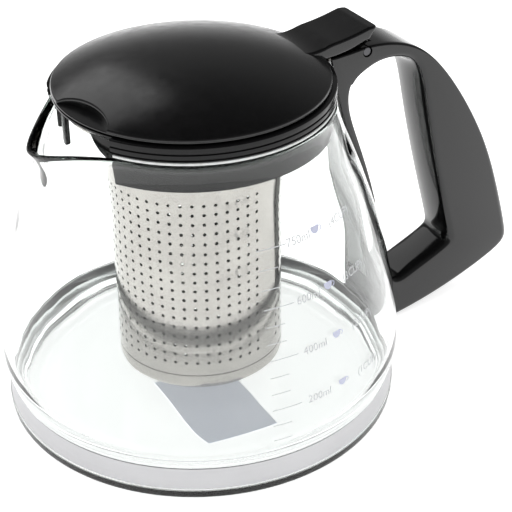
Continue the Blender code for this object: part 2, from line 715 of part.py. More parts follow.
def make_infuser_rim():
    """Flat steel flange that hangs the infuser on the collar's ledge."""
    seat = LEDGE_TOP + GAP
    outer = LIP_INNER - 2 * GAP
    inner = SLEEVE_RADIUS - STEEL_WALL
    profile = [(inner, RIM_RING_TOP), (outer, RIM_RING_TOP), (outer, seat), (inner, seat)]
    return add_part("infuser_rim", turned(profile, 48, True), "bright steel")


def main():
    """Build every sub-part of the teapot."""
    make_glass_jug()
    make_base_band()
    make_collar_ring()
    make_rim_bead()
    make_lid_cover()
    make_lid_ring()
    make_hinge_pin()
    make_handle()
    make_handle_screws()
    make_rib_pad()
    make_infuser_sleeve()
    make_infuser_cup()
    make_infuser_rim()


clear_scene()
PARTS = new_collection("glass_teapot")
CUTTERS = new_collection("cutters")
main()
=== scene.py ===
"""Glass teapot with a steel infuser: the fine visual model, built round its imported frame.

Metres, +Z up.  The origin is the centre of the jug's flat underside, the handle points along
+X and the spout along -X.  Every place is worked out from the frame's boxes and its hinge.
"""
import json
import math

import bmesh
import bpy
import numpy as np
from bpy.props import FloatProperty, FloatVectorProperty, IntProperty, PointerProperty
from mathutils import Matrix, Vector


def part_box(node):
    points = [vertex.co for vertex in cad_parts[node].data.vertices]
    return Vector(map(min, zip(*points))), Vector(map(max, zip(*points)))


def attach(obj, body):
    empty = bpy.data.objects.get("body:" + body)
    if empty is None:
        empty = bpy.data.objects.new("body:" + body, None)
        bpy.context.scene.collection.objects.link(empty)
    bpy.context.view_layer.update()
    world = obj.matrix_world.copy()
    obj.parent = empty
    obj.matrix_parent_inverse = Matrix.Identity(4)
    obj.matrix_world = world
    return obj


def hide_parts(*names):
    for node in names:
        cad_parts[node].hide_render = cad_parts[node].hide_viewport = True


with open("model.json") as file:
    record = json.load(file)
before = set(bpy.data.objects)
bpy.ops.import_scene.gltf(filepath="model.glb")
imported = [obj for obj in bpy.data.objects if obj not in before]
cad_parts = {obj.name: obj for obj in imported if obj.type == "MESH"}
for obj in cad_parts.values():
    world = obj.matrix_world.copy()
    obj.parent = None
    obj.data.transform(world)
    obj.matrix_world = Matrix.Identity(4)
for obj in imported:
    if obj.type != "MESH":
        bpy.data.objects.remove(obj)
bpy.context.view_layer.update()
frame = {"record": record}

bl_info = {
    "name": "Glass Teapot",
    "version": (1, 0, 0),
    "blender": (4, 5, 0),
    "location": "3D View > Sidebar > Teapot",
    "description": "Builds a glass teapot with a steel infuser round its packed frame",
    "category": "Add Mesh",
}

# --- places read from the frame --------------------------------------------------------

GAP = 0.0003
WELD = 1e-7
HINGE = next(j for j in frame["record"]["behaviour"]["joints"] if j["name"] == "lid_hinge")["pos_m"]
JUG_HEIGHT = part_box("glass_jug")[1].z
NECK_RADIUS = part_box("collar_ring")[1].y
BAND_LOW, BAND_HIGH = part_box("base_band")
BAND_TAPER = 0.0006
JUG_RADIUS = BAND_HIGH.y - BAND_TAPER
COLLAR_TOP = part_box("collar_ring")[1].z
SKIRT_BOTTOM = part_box("collar_ring")[0].z
BEAD_LOW, BEAD_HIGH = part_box("rim_bead")
LID_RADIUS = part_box("lid_cover")[1].y
LID_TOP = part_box("lid_cover")[1].z
LID_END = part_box("lid_cover")[1].x
RING_LOW, RING_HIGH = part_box("lid_ring")
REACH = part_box("handle")[1].x
FOOT_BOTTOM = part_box("handle")[0].z
GRIP_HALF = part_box("handle")[1].y
PIN_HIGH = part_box("hinge_pin")[1]
PIN_RADIUS = PIN_HIGH.z - HINGE[2]
PAD_LOW, PAD_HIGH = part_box("rib_pad")
SLEEVE_LOW, SLEEVE_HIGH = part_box("infuser_sleeve")
CUP_LOW, CUP_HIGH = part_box("infuser_cup")
FLANGE_LOW, FLANGE_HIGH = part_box("infuser_rim")
SCREW_LOW, SCREW_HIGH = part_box("handle_screw_2")

# --- shape values ----------------------------------------------------------------------

GLASS_OUTLINE = [            # (share of height, share of the way from neck to base radius)
    (1.000, 0.000), (0.960, 0.034), (0.898, 0.128), (0.805, 0.325), (0.681, 0.557),
    (0.557, 0.764), (0.433, 0.911), (0.341, 1.005), (0.260, 1.059), (0.186, 1.089),
    (0.143, 1.050),
]
RIM_WALL = 0.0021
FLOOR_THICKNESS = 0.0040
FLOOR_FLAT_RADIUS = 0.0490
HEEL_RADIUS = 0.0030
BAND_WALL = 0.0005

SPOUT_REACH = 0.0108
SPOUT_DROP = 0.0038
SPOUT_DEPTH = 0.024
SPOUT_HALF_ANGLE = math.radians(40)
SPOUT_TIP_ROUND = math.radians(5)

SKIRT_OUTER = NECK_RADIUS - RIM_WALL - GAP
SKIRT_INNER = SKIRT_OUTER - 0.0018
LEDGE_INNER = SKIRT_INNER - 0.0020
LEDGE_TOP = FLANGE_LOW.z - GAP
LIP_INNER = NECK_RADIUS - 0.0030
ARCH_OUTLINE = [             # (degrees from the spout's middle, height under the collar's top)
    (0.0, 0.0009), (16.5, 0.0010), (18.3, 0.0022), (19.6, 0.0040), (22.0, 0.0060),
    (25.0, 0.0076), (28.4, 0.0083), (29.6, 0.0092), (30.0, 0.0180),
]
ARCH_HALF_ANGLE = math.radians(30.2)
BRIDGE_RADIUS = 0.0432
TOOTH_SIZE = (0.0024, 0.0014, 0.0099)

LID_BOTTOM = COLLAR_TOP + 0.0005
LID_SHOULDER = LID_BOTTOM + 0.0012
LID_CROWN = LID_TOP - LID_SHOULDER
LID_WALL = 0.0020
NOTCH_DEPTH = 0.0059
NOTCH_MIDDLE = math.radians(10.8)
NOTCH_HALF_ANGLE = math.radians(16.8)
SILL_THICKNESS = 0.0006
TAIL_HALF_WIDTH = 0.0099
TAIL_START = 0.0290

SHEET = 0.0005
LOWEST_ROW = 0.0242
HIGHEST_ROW = 0.0822
FIRST_COLUMN = math.radians(-157.5)
PANEL_PITCH = 14
PANEL_COLUMNS = 12

PRINT_LIFT = 0.00004
PRINT_THICKNESS = 0.00005
LONG_TICK = 0.0098
SHORT_TICK = 0.0062
LETTER_SIZE = 0.0036
SCALE_LEVELS = [             # (height, volume, cups)
    (0.0798, "750ml", "(4CUP)"), (0.0628, "600ml", "(3CUP)"),
    (0.0470, "400ml", "(2CUP)"), (0.0307, "200ml", "(1CUP)"),
]
SCALE_FOOT = 0.0145

FLOOR_LEVEL = -0.0003
FLOOR_RADIUS = 3.0
CAMERA_LENS = 98.04
CAMERA_TARGET = Vector((0.01661, -0.00959, 0.04713))
CAMERA_BACK = Vector((-0.4228, -0.7323, 0.5337))
CAMERA_DISTANCE = 0.4617
CAMERA_ROLL = -0.009


# --- lines -----------------------------------------------------------------------------

def flow_at(knots, where, closed=False):
    """Points on a smooth line through knots, at knot numbers such as 2.5.

    It is a uniform cubic B-spline.  Each control point is its knot less a sixth of the
    knots' second difference there, which carries the line through the knots.
    """
    knots = np.asarray(knots, float)
    count = len(knots)
    if closed:
        before, after = np.roll(knots, 1, 0), np.roll(knots, -1, 0)
    else:
        longer = np.vstack([2 * knots[0] - knots[1], knots, 2 * knots[-1] - knots[-2]])
        before, after = longer[:-2], longer[2:]
    control = knots - (before - 2 * knots + after) / 6
    where = np.asarray(where, float)
    if closed:
        first = np.floor(where).astype(int)
        picks = (first[:, None] + np.arange(-1, 3)) % count
    else:
        control = np.vstack([2 * control[0] - control[1], control, 2 * control[-1] - control[-2]])
        first = np.clip(np.floor(where), 0, count - 2).astype(int)
        picks = first[:, None] + np.arange(4)
    f = where - first
    weights = np.stack([(1 - f) ** 3, 3 * f ** 3 - 6 * f ** 2 + 4,
                        -3 * f ** 3 + 3 * f ** 2 + 3 * f + 1, f ** 3], 1) / 6
    return (weights[..., None] * control[picks]).sum(1)


def flow(knots, count):
    """Points evenly spread in knot number on an open smooth line."""
    return flow_at(knots, np.linspace(0, len(knots) - 1, count))


def eased(corners, ease, steps=5, closed=False):
    """A line of corners with each one rounded by a quadratic arc that starts ease before it."""
    corners = np.asarray(corners, float)
    count = len(corners)
    eases = np.broadcast_to(ease, (count,))
    t = np.linspace(0, 1, steps + 1)[:, None]
    line = []
    for i in range(count):
        here = corners[i]
        if not closed and i in (0, count - 1):
            line.append(here[None])
            continue
        back = corners[i - 1] - here
        ahead = corners[(i + 1) % count] - here
        reach = min(eases[i], 0.45 * np.linalg.norm(back), 0.45 * np.linalg.norm(ahead))
        start = here + back * reach / np.linalg.norm(back)
        end = here + ahead * reach / np.linalg.norm(ahead)
        line.append((1 - t) ** 2 * start + 2 * t * (1 - t) * here + t ** 2 * end)
    return np.vstack(line)


def smooth_step(value):
    """0 below 0, 1 above 1, and an even S between."""
    value = np.clip(value, 0, 1)
    return value * value * (3 - 2 * value)


# --- surfaces --------------------------------------------------------------------------

def grid_faces(rows, columns, wrap_rows=False, wrap_columns=False):
    """Quads of a grid of points that are numbered row by row."""
    row, column = np.meshgrid(np.arange(rows if wrap_rows else rows - 1),
                              np.arange(columns if wrap_columns else columns - 1), indexing="ij")
    next_row, next_column = (row + 1) % rows, (column + 1) % columns
    return np.stack([row * columns + column, row * columns + next_column,
                     next_row * columns + next_column, next_row * columns + column], -1).reshape(-1, 4)


def even_turn(steps):
    """Angles of a whole turn in even steps."""
    return np.arange(steps) * 2 * np.pi / steps


def turned(profile, angles, closed=False):
    """A profile of (radius, height) turned round Z: (r cos a, r sin a, z) for each angle a.

    The profile runs down its outer side, and a closed one is a ring that stays off the axis.
    """
    radius, height = np.asarray(profile, float).T
    points = np.stack([np.cos(angles)[:, None] * radius, np.sin(angles)[:, None] * radius,
                       np.broadcast_to(height, (len(angles), len(height)))], -1)
    return points.reshape(-1, 3), grid_faces(len(angles), len(radius), True, closed)


def tube(sections, closed=False):
    """A skin over sections, an array (section, point, xyz); open ends are closed to a middle point."""
    if not closed:
        first = np.broadcast_to(sections[0].mean(0), sections[0].shape)
        last = np.broadcast_to(sections[-1].mean(0), sections[-1].shape)
        sections = np.concatenate([first[None], sections, last[None]])
    rows, columns = sections.shape[:2]
    return sections.reshape(-1, 3), grid_faces(rows, columns, closed, True)


def slab(x, y, top, bottom):
    """Two sheets z = top(x, y) and z = bottom(x, y) on one grid, with a wall round their edge."""
    rows, columns = x.shape
    upper = np.stack([x, y, top], -1).reshape(-1, 3)
    lower = np.stack([x, y, bottom], -1).reshape(-1, 3)
    faces = grid_faces(rows, columns)
    number = np.arange(rows * columns).reshape(rows, columns)
    edge = np.concatenate([number[0, :-1], number[:-1, -1], number[-1, :0:-1], number[:0:-1, 0]])
    after = np.roll(edge, -1)
    size = rows * columns
    wall = np.stack([edge, after, after + size, edge + size], -1)
    return np.vstack([upper, lower]), np.vstack([faces[:, ::-1], faces + size, wall])


def plate(outline, centre, half_width, rounding):
    """An outline in the XZ plane carried across Y, its two side faces closed to a centre.

    Near each side the outline shrinks towards the centre along a quarter circle.
    """
    outline, centre = np.asarray(outline, float), np.asarray(centre, float)
    turn = np.linspace(0, np.pi / 2, 5)
    inset = np.concatenate([rounding * (1 - np.sin(turn)), rounding * (1 - np.cos(turn))])
    across = np.concatenate([half_width - rounding * (1 - np.cos(turn)),
                             rounding * (1 - np.sin(turn)) - half_width])
    span = np.linalg.norm(outline - centre, axis=1)
    share = 1 - inset[:, None] / span
    flat = centre + (outline - centre) * share[..., None]
    sections = np.stack([flat[..., 0], np.broadcast_to(across[:, None], share.shape), flat[..., 1]], -1)
    return tube(sections)


def joined(*shapes):
    """Several shapes as one list of points and faces."""
    points, faces, start = [], [], 0
    for some_points, some_faces in shapes:
        points.append(some_points)
        faces.append(some_faces + start)
        start += len(some_points)
    return np.vstack(points), np.vstack(faces)


def welded(name, shape, turn_out=False):
    """A mesh of points and faces, its doubles welded and, if asked, its faces turned outwards."""
    points, faces = shape
    mesh = bpy.data.meshes.new(name)
    mesh.from_pydata(points.tolist(), [], faces.tolist())
    editor = bmesh.new()
    editor.from_mesh(mesh)
    bmesh.ops.remove_doubles(editor, verts=editor.verts, dist=WELD)
    if turn_out:
        bmesh.ops.recalc_face_normals(editor, faces=editor.faces)
    editor.to_mesh(mesh)
    editor.free()
    return mesh


def add_piece(name, shape, finish, body, nodes=(), sharp=40.0):
    """Add a piece from points and faces, weld its seams and poles, and set it on its body."""
    return add_mesh(name, welded(name, shape), finish, body, nodes, sharp)


def add_mesh(name, mesh, finish, body, nodes=(), sharp=40.0):
    """Add a piece from a mesh, shaded smooth but for edges sharper than an angle."""
    mesh.materials.clear()
    mesh.materials.append(finish)
    mesh.shade_smooth()
    mesh.set_sharp_from_angle(angle=math.radians(sharp))
    obj = bpy.data.objects.new(name, mesh)
    bpy.context.scene.collection.objects.link(obj)
    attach(obj, body)
    if nodes:
        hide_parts(*nodes)
    return obj


def carved(shape, *cutters):
    """A mesh of a shape with rods and blocks cut out of it by exact Booleans."""
    holder = solid_object("shape", shape)
    tools = [solid_object("cutter", cutter) for cutter in cutters]
    for tool in tools:
        cut = holder.modifiers.new("cut", "BOOLEAN")
        cut.object = tool
    bpy.context.view_layer.update()
    evaluated = holder.evaluated_get(bpy.context.evaluated_depsgraph_get())
    mesh = bpy.data.meshes.new_from_object(evaluated)
    for obj in [holder] + tools:
        bpy.data.objects.remove(obj)
    return mesh


def solid_object(name, shape):
    """A bare object for a Boolean, its doubles welded and its faces turned outwards."""
    obj = bpy.data.objects.new(name, welded(name, shape, True))
    bpy.context.scene.collection.objects.link(obj)
    return obj


def cross_rod(x, z, radius, half_length, steps=40):
    """A round rod along Y through a point of the XZ plane, with flat ends."""
    angles = even_turn(steps)
    ring = np.stack([x + radius * np.cos(angles), z + radius * np.sin(angles)], -1)
    sections = np.stack([np.stack([ring[:, 0], np.full(steps, side), ring[:, 1]], -1)
                         for side in (half_length, -half_length)])
    return tube(sections)


def box_shape(low, high):
    """A box between two corners."""
    x, y = np.meshgrid([low[0], high[0]], [low[1], high[1]], indexing="ij")
    return slab(x, y, np.full((2, 2), high[2]), np.full((2, 2), low[2]))


# --- materials -------------------------------------------------------------------------

class Finish:
    """A Principled material and the short calls that add nodes to it."""

    def __init__(self, name, colour, roughness, **sockets):
        self.material = bpy.data.materials.new(name)
        self.material.use_nodes = True
        self.tree = self.material.node_tree
        self.shader = self.tree.nodes["Principled BSDF"]
        self.shader.inputs["Base Color"].default_value = (*colour, 1.0)
        self.shader.inputs["Roughness"].default_value = roughness
        for socket, value in sockets.items():
            self.shader.inputs[socket.replace("_", " ")].default_value = value
        self.coordinates = self.tree.nodes.new("ShaderNodeTexCoord").outputs["Object"]

    def node(self, kind, **settings):
        """Add a node, with its own settings."""
        made = self.tree.nodes.new("ShaderNode" + kind)
        for key, value in settings.items():
            setattr(made, key, value)
        return made

    def noise(self, scale, detail=2.0, stretch=(1, 1, 1)):
        """The value of a noise whose features are about 1/scale metres."""
        mapping = self.node("Mapping")
        mapping.inputs["Scale"].default_value = stretch
        self.tree.links.new(self.coordinates, mapping.inputs["Vector"])
        made = self.node("TexNoise")
        made.inputs["Scale"].default_value = scale
        made.inputs["Detail"].default_value = detail
        self.tree.links.new(mapping.outputs[0], made.inputs["Vector"])
        return made.outputs["Fac"]

    def spread(self, value, low, high, socket, start=0.3, end=0.7):
        """Carry a value between start and end to a socket, from low to high."""
        made = self.node("MapRange")
        for key, number in (("From Min", start), ("From Max", end), ("To Min", low), ("To Max", high)):
            made.inputs[key].default_value = number
        self.tree.links.new(value, made.inputs["Value"])
        self.tree.links.new(made.outputs[0], self.shader.inputs[socket])

    def tint(self, value, first, second, start=0.3, end=0.7):
        """Carry a value to the base colour, from one colour to another."""
        ramp = self.node("ValToRGB")
        ramp.color_ramp.elements[0].position = start
        ramp.color_ramp.elements[1].position = end
        ramp.color_ramp.elements[0].color = (*first, 1.0)
        ramp.color_ramp.elements[1].color = (*second, 1.0)
        self.tree.links.new(value, ramp.inputs[0])
        self.tree.links.new(ramp.outputs[0], self.shader.inputs["Base Color"])

    def bump(self, value, height, strength=1.0):
        """Raise the surface by a value times a height in metres, on top of an earlier bump."""
        made = self.node("Bump")
        made.inputs["Strength"].default_value = strength
        made.inputs["Distance"].default_value = height
        self.tree.links.new(value, made.inputs["Height"])
        links = self.shader.inputs["Normal"].links
        if links:
            self.tree.links.new(links[0].from_socket, made.inputs["Normal"])
        self.tree.links.new(made.outputs[0], self.shader.inputs["Normal"])


def scaled(colour, factor):
    """A colour times a factor."""
    return tuple(min(1.0, part * factor) for part in colour)


def once(name, build):
    """The teapot's own material of that name, built the first time that it is asked for."""
    name = "teapot_" + name
    return bpy.data.materials.get(name) or build(name).material


def clear_glass(look):
    """Clear glass, faintly green in depth, with the slow waves of a blown wall."""
    def build(name):
        finish = Finish(name, look.glass, 0.0, IOR=1.47, Transmission_Weight=1.0)
        finish.spread(finish.noise(140, 3), 0.0, 0.012, "Roughness")
        finish.bump(finish.noise(70, 1), 0.00008)
        lip = finish.node("Attribute", attribute_name="lip")
        finish.tint(lip.outputs["Fac"], look.glass, look.glass_lip, 0.1, 0.9)
        depth = finish.node("VolumeAbsorption")
        depth.inputs["Color"].default_value = (0.55, 0.86, 0.74, 1.0)
        depth.inputs["Density"].default_value = 4.0
        output = finish.tree.nodes["Material Output"]
        finish.tree.links.new(depth.outputs[0], output.inputs["Volume"])
        return finish
    return once("clear_glass", build)


def black_plastic(look, name="black_plastic", roughness=0.08, specular=0.5):
    """Glossy moulded black, with a fine mould grain and faint handling marks."""
    def build(name):
        finish = Finish(name, look.plastic, roughness, IOR=1.52, Specular_IOR_Level=specular)
        finish.tint(finish.noise(900, 4), scaled(look.plastic, 0.8), scaled(look.plastic, 1.3))
        finish.spread(finish.noise(260, 5), roughness * 0.85, roughness * 1.35, "Roughness")
        finish.bump(finish.noise(2600, 2), 0.000004)
        finish.bump(finish.noise(55, 1), 0.00004)
        return finish
    return once(name, build)


def satin_steel(look, name="satin_steel", roughness=0.11):
    """Satin steel with fine lines round the piece and a faint clouding."""
    def build(name):
        finish = Finish(name, look.steel, roughness, Metallic=1.0)
        lines = finish.noise(120, 3, (0.25, 0.25, 30))
        finish.tint(finish.noise(70, 4), scaled(look.steel, 0.93), scaled(look.steel, 1.04))
        finish.spread(lines, roughness * 0.8, roughness * 1.3, "Roughness")
        finish.bump(lines, 0.000006)
        return finish
    return once(name, build)


def bright_steel(look):
    """Bright steel for the screws and the infuser's flange."""
    return satin_steel(look, "bright_steel", 0.14)


def band_steel(look):
    """Pale, finely lined steel for the foot band."""
    def build(name):
        finish = Finish(name, look.band, 0.38, Metallic=1.0)
        lines = finish.noise(160, 3, (0.12, 0.12, 26))
        finish.tint(finish.noise(50, 3), scaled(look.band, 0.97), scaled(look.band, 1.03))
        finish.spread(lines, 0.34, 0.44, "Roughness")
        finish.bump(lines, 0.000003)
        return finish
    return once("band_steel", build)


def dark_steel(look):
    """Blackened steel for the hinge pin."""
    def build(name):
        finish = Finish(name, look.pin, 0.3, Metallic=1.0)
        finish.spread(finish.noise(900, 3), 0.24, 0.4, "Roughness")
        finish.bump(finish.noise(2400, 2), 0.000004)
        return finish
    return once("dark_steel", build)


def grey_silicone(look):
    """Milky silicone with a dull, slightly mottled skin."""
    def build(name):
        finish = Finish(name, look.silicone, 0.5, Subsurface_Weight=0.2)
        finish.shader.inputs["Subsurface Radius"].default_value = (0.001, 0.001, 0.001)
        finish.tint(finish.noise(500, 3), scaled(look.silicone, 0.9), scaled(look.silicone, 1.08))
        finish.spread(finish.noise(900, 3), 0.4, 0.62, "Roughness")
        finish.bump(finish.noise(1500, 2), 0.00001)
        return finish
    return once("grey_silicone", build)


def enamel(name, colour):
    """Printed enamel, a little uneven in cover and gloss."""
    def build(name):
        finish = Finish(name, colour, 0.4)
        finish.tint(finish.noise(1800, 3), scaled(colour, 0.86), scaled(colour, 1.05))
        finish.spread(finish.noise(1200, 2), 0.3, 0.55, "Roughness")
        return finish
    return once(name, build)


def paper_floor(look):
    """Matte pale floor of a light table, with a barely visible tooth."""
    def build(name):
        finish = Finish(name, look.floor, 0.9, Specular_IOR_Level=0.1)
        finish.tint(finish.noise(8, 4), scaled(look.floor, 0.985), look.floor)
        finish.shader.inputs["Emission Color"].default_value = (1.0, 1.0, 1.0, 1.0)
        finish.shader.inputs["Emission Strength"].default_value = look.floor_glow
        return finish
    return once("paper_floor", build)


# --- glass -----------------------------------------------------------------------------

def glass_outside():
    """Points (radius, height) down the outside of the glass, rim to band."""
    shoulder = JUG_RADIUS - NECK_RADIUS
    knots = [(NECK_RADIUS + shoulder * share, JUG_HEIGHT * height) for height, share in GLASS_OUTLINE]
    return flow(knots, 90)


def glass_radius(height):
    """The outer radius of the glass at heights above the band."""
    line = glass_outside()[::-1]
    return np.interp(height, line[:, 1], line[:, 0])


def offset(line, distance):
    """A line moved sideways by a distance, to the right of its way down."""
    ahead = np.gradient(line, axis=0)
    ahead /= np.linalg.norm(ahead, axis=1)[:, None]
    return line + distance * np.stack([ahead[:, 1], -ahead[:, 0]], 1)


def drawn_spout(points):
    """Draw points of the turned jug out into the spout.

    In plan the lip follows the two tangents from the tip to the neck, rounded at the tip.
    The draw grows with height to the power 1.7 and is nothing at the spout's foot.
    """
    x, y, z = points.T
    radius = np.maximum(np.hypot(x, y), 1e-9)
    soft = np.sqrt(np.arctan2(y, -x) ** 2 + SPOUT_TIP_ROUND ** 2)
    lean = np.maximum(0, SPOUT_HALF_ANGLE - soft)
    peak = 1 / math.cos(SPOUT_HALF_ANGLE - SPOUT_TIP_ROUND) - 1
    rise = np.clip((z - JUG_HEIGHT + SPOUT_DEPTH) / SPOUT_DEPTH, 0, None)
    draw = (1 / np.cos(lean) - 1) / peak * rise ** 1.7
    out = 1 + SPOUT_REACH * draw / radius
    return np.stack([x * out, y * out, z - SPOUT_DROP * draw], 1)


def spout_angles(steps, extra):
    """Angles of a whole turn, even but for more of them within 42 degrees of the spout."""
    reach = math.radians(42)
    near = np.linspace(math.pi - reach, math.pi + reach, extra)
    far = np.linspace(math.pi + reach, 3 * math.pi - reach, steps)[1:-1]
    return np.concatenate([near, far])


def make_jug(look):
    """Glass jug: floor, inner wall, round rim, outer wall, band groove and heel."""
    outside = glass_outside()
    groove_top, groove_bottom = BAND_HIGH.z + GAP, BAND_LOW.z - GAP
    groove = JUG_RADIUS - BAND_WALL - GAP
    heel_outer = BAND_HIGH.y + GAP
    wall_foot = groove - look.glass_wall
    corner = FLOOR_FLAT_RADIUS
    inner = offset(outside, look.glass_wall)
    inner = inner[(inner[:, 1] < JUG_HEIGHT - 0.010) & (inner[:, 1] > groove_top + 0.006)]
    inner_knots = np.vstack([
        [(corner, FLOOR_THICKNESS), (corner + 0.42 * (wall_foot - corner), FLOOR_THICKNESS + 0.0008),
         (corner + 0.80 * (wall_foot - corner), FLOOR_THICKNESS + 0.0034)],
        inner[::-12],
        [(NECK_RADIUS - RIM_WALL, JUG_HEIGHT - 0.0040),
         (NECK_RADIUS - RIM_WALL, JUG_HEIGHT - RIM_WALL / 2)],
    ])
    turn = np.linspace(np.pi, 0, 11)[1:-1]
    rim = np.stack([NECK_RADIUS - RIM_WALL / 2 * (1 - np.cos(turn)),
                    JUG_HEIGHT - RIM_WALL / 2 * (1 - np.sin(turn))], 1)
    wall = outside[outside[:, 1] < JUG_HEIGHT - RIM_WALL / 2]
    foot = eased([
        wall[-1], (JUG_RADIUS + GAP, groove_top), (groove, groove_top), (groove + BAND_TAPER, groove_bottom),
        (heel_outer, groove_bottom), (heel_outer, 0), (0, 0),
    ], [0, 0.0012, 0.0003, 0.0003, 0.0004, HEEL_RADIUS, 0], 6)
    flat = np.stack([np.linspace(0, corner, 8)[:-1], np.full(7, FLOOR_THICKNESS)], 1)
    profile = np.vstack([flat, flow(inner_knots, 90), rim, wall[:-1], foot])
    points, faces = turned(profile, spout_angles(150, 60))
    shell = add_piece("glass_shell", (drawn_spout(points), faces), clear_glass(look), "pot",
                      ["glass_jug"])
    mark_rim(shell.data)


def mark_rim(mesh):
    """Store how near each point is to the lip: 1 there, falling to 0 at 2.5 mm below it."""
    points = np.empty(len(mesh.vertices) * 3)
    mesh.vertices.foreach_get("co", points)
    points = points.reshape(-1, 3)
    from_front = np.arctan2(points[:, 1], -points[:, 0])
    lip = np.stack([-np.cos(from_front) * NECK_RADIUS, np.sin(from_front) * NECK_RADIUS,
                    np.full(len(points), JUG_HEIGHT)], 1)
    near_lip = 1 - (drawn_spout(lip)[:, 2] - points[:, 2]) / 0.0025
    attribute = mesh.attributes.new("lip", "FLOAT", "POINT")
    attribute.data.foreach_set("value", np.clip(near_lip, 0, 1))


def make_band(look):
    """Steel band pressed round the foot, with a hair's rounding at its edges."""
    low = BAND_HIGH.y
    profile = eased([
        (JUG_RADIUS - BAND_WALL, BAND_HIGH.z), (JUG_RADIUS, BAND_HIGH.z),
        (low, BAND_LOW.z), (low - BAND_WALL, BAND_LOW.z),
    ], 0.00018, 4, True)
    add_piece("foot_band", turned(profile, even_turn(224), True), band_steel(look),
              "pot", ["base_band"])


def make_label(look):
    """Plain paper label stuck under the foot, with a painted glow: it emits light of its own colour, as if
    lit through the light table.
    """
    x, y = np.meshgrid(np.linspace(-0.0185, 0.0070, 9), np.linspace(-0.0390, 0.0, 13), indexing="ij")
    top = np.full(x.shape, -0.00004)
    finish = enamel("label_paper", look.label)
    shader = finish.node_tree.nodes["Principled BSDF"]
    # Painted light: the label glows with its own colour at 0.8 of the floor's glow, though it is no lamp.
    shader.inputs["Emission Color"].default_value = (*look.label, 1.0)
    shader.inputs["Emission Strength"].default_value = look.floor_glow * 0.8
    add_piece("foot_label", slab(x, y, top, top - 0.0001), finish, "pot")


# --- printed scale ---------------------------------------------------------------------

def on_glass(points, azimuth, height, lift):
    """Bend flat points (x along the print, y up, z out) round the glass.

    The azimuth is the start plus x over the glass's radius there; the radius is the glass's
    plus the lift plus z.
    """
    x, y, z = points.T
    level = height + y
    radius = glass_radius(level)
    angle = azimuth + x / radius
    out = radius + lift + z
    return np.stack([out * np.cos(angle), out * np.sin(angle), level], 1)


def flat_bar(x0, x1, y0, y1, steps=12):
    """A bar in the XY plane, as thick as the print."""
    x, y = np.meshgrid(np.linspace(x0, x1, steps), [y0, y1], indexing="ij")
    return slab(x, y, np.full(x.shape, PRINT_THICKNESS), np.zeros(x.shape))


def flat_disc(centre, radius, start, end, inner=0.0, steps=20):
    """A sector or part of a ring in the XY plane, a grid of (radius, angle), as thick as the print."""
    ring, angle = np.meshgrid([inner, radius], np.linspace(start, end, steps), indexing="ij")
    x, y = centre[0] + ring * np.cos(angle), centre[1] + ring * np.sin(angle)
    return slab(x, y, np.full(x.shape, PRINT_THICKNESS), np.zeros(x.shape))


def lettering(text):
    """Points and faces of a short text in the XY plane, its left foot at the origin."""
    curve = bpy.data.curves.new("text", "FONT")
    curve.body = text
    curve.size = LETTER_SIZE
    curve.extrude = PRINT_THICKNESS / 2
    curve.resolution_u = 3
    obj = bpy.data.objects.new("text", curve)
    bpy.context.scene.collection.objects.link(obj)
    bpy.context.view_layer.update()
    mesh = bpy.data.meshes.new_from_object(obj.evaluated_get(bpy.context.evaluated_depsgraph_get()))
    bpy.data.objects.remove(obj)
    editor = bmesh.new()
    editor.from_mesh(mesh)
    bmesh.ops.triangulate(editor, faces=editor.faces)
    points = np.array([corner.co for corner in editor.verts])
    faces = np.array([[corner.index for corner in face.verts] for face in editor.faces])
    editor.free()
    points[:, 2] += PRINT_THICKNESS / 2
    return points, faces


def as_triangles(shape):
    """A shape of quads as one of triangles."""
    points, faces = shape
    return points, np.vstack([faces[:, [0, 1, 2]], faces[:, [0, 2, 3]]])


def make_scale(look):
    """Printed volume scale: long and short ticks, numerals, cups and cup numbers."""
    marks, cups = [], []
    start = math.radians(look.scale_azimuth)

    def printed(shape, azimuth, height):
        return on_glass(shape[0], azimuth, height, PRINT_LIFT), shape[1]

    heights = [level[0] for level in SCALE_LEVELS] + [SCALE_FOOT]
    for (height, label, number), below in zip(SCALE_LEVELS, heights[1:]):
        bar = flat_bar(0, LONG_TICK, -0.00014, 0.00014)
        marks.append(as_triangles(printed(bar, start, height)))
        for share in (1 / 3, 2 / 3):
            bar = flat_bar(0, SHORT_TICK, -0.00012, 0.00012)
            marks.append(as_triangles(printed(bar, start, height + (below - height) * share)))
        for text, along in ((label, 10.6), (number, 29.0)):
            marks.append(printed(lettering(text), start + math.radians(along), height - 0.0012))
        bowl = flat_disc((0.0, 0.0018), 0.0016, math.pi, 2 * math.pi)
        rim = flat_bar(-0.0016, 0.0016, 0.0018, 0.0024, 4)
        ear = flat_disc((0.0019, 0.0013), 0.0008, -1.9, 1.9, 0.0005)
        for part in (bowl, rim, ear):
            cups.append(as_triangles(printed(part, start + math.radians(22.6), height - 0.0008)))
    add_piece("scale_marks", joined(*marks), enamel("white_enamel", look.print_white), "pot")
    add_piece("scale_cups", joined(*cups), enamel("violet_enamel", look.print_cup), "pot")


# --- collar ----------------------------------------------------------------------------

def arch_height(angle_from_front):
    """Height of the spout arch's edge: flat under the bridge, then flaring down to its feet."""
    degrees, drop = np.array(ARCH_OUTLINE).T
    return COLLAR_TOP - np.interp(np.abs(np.degrees(angle_from_front)), degrees, drop)


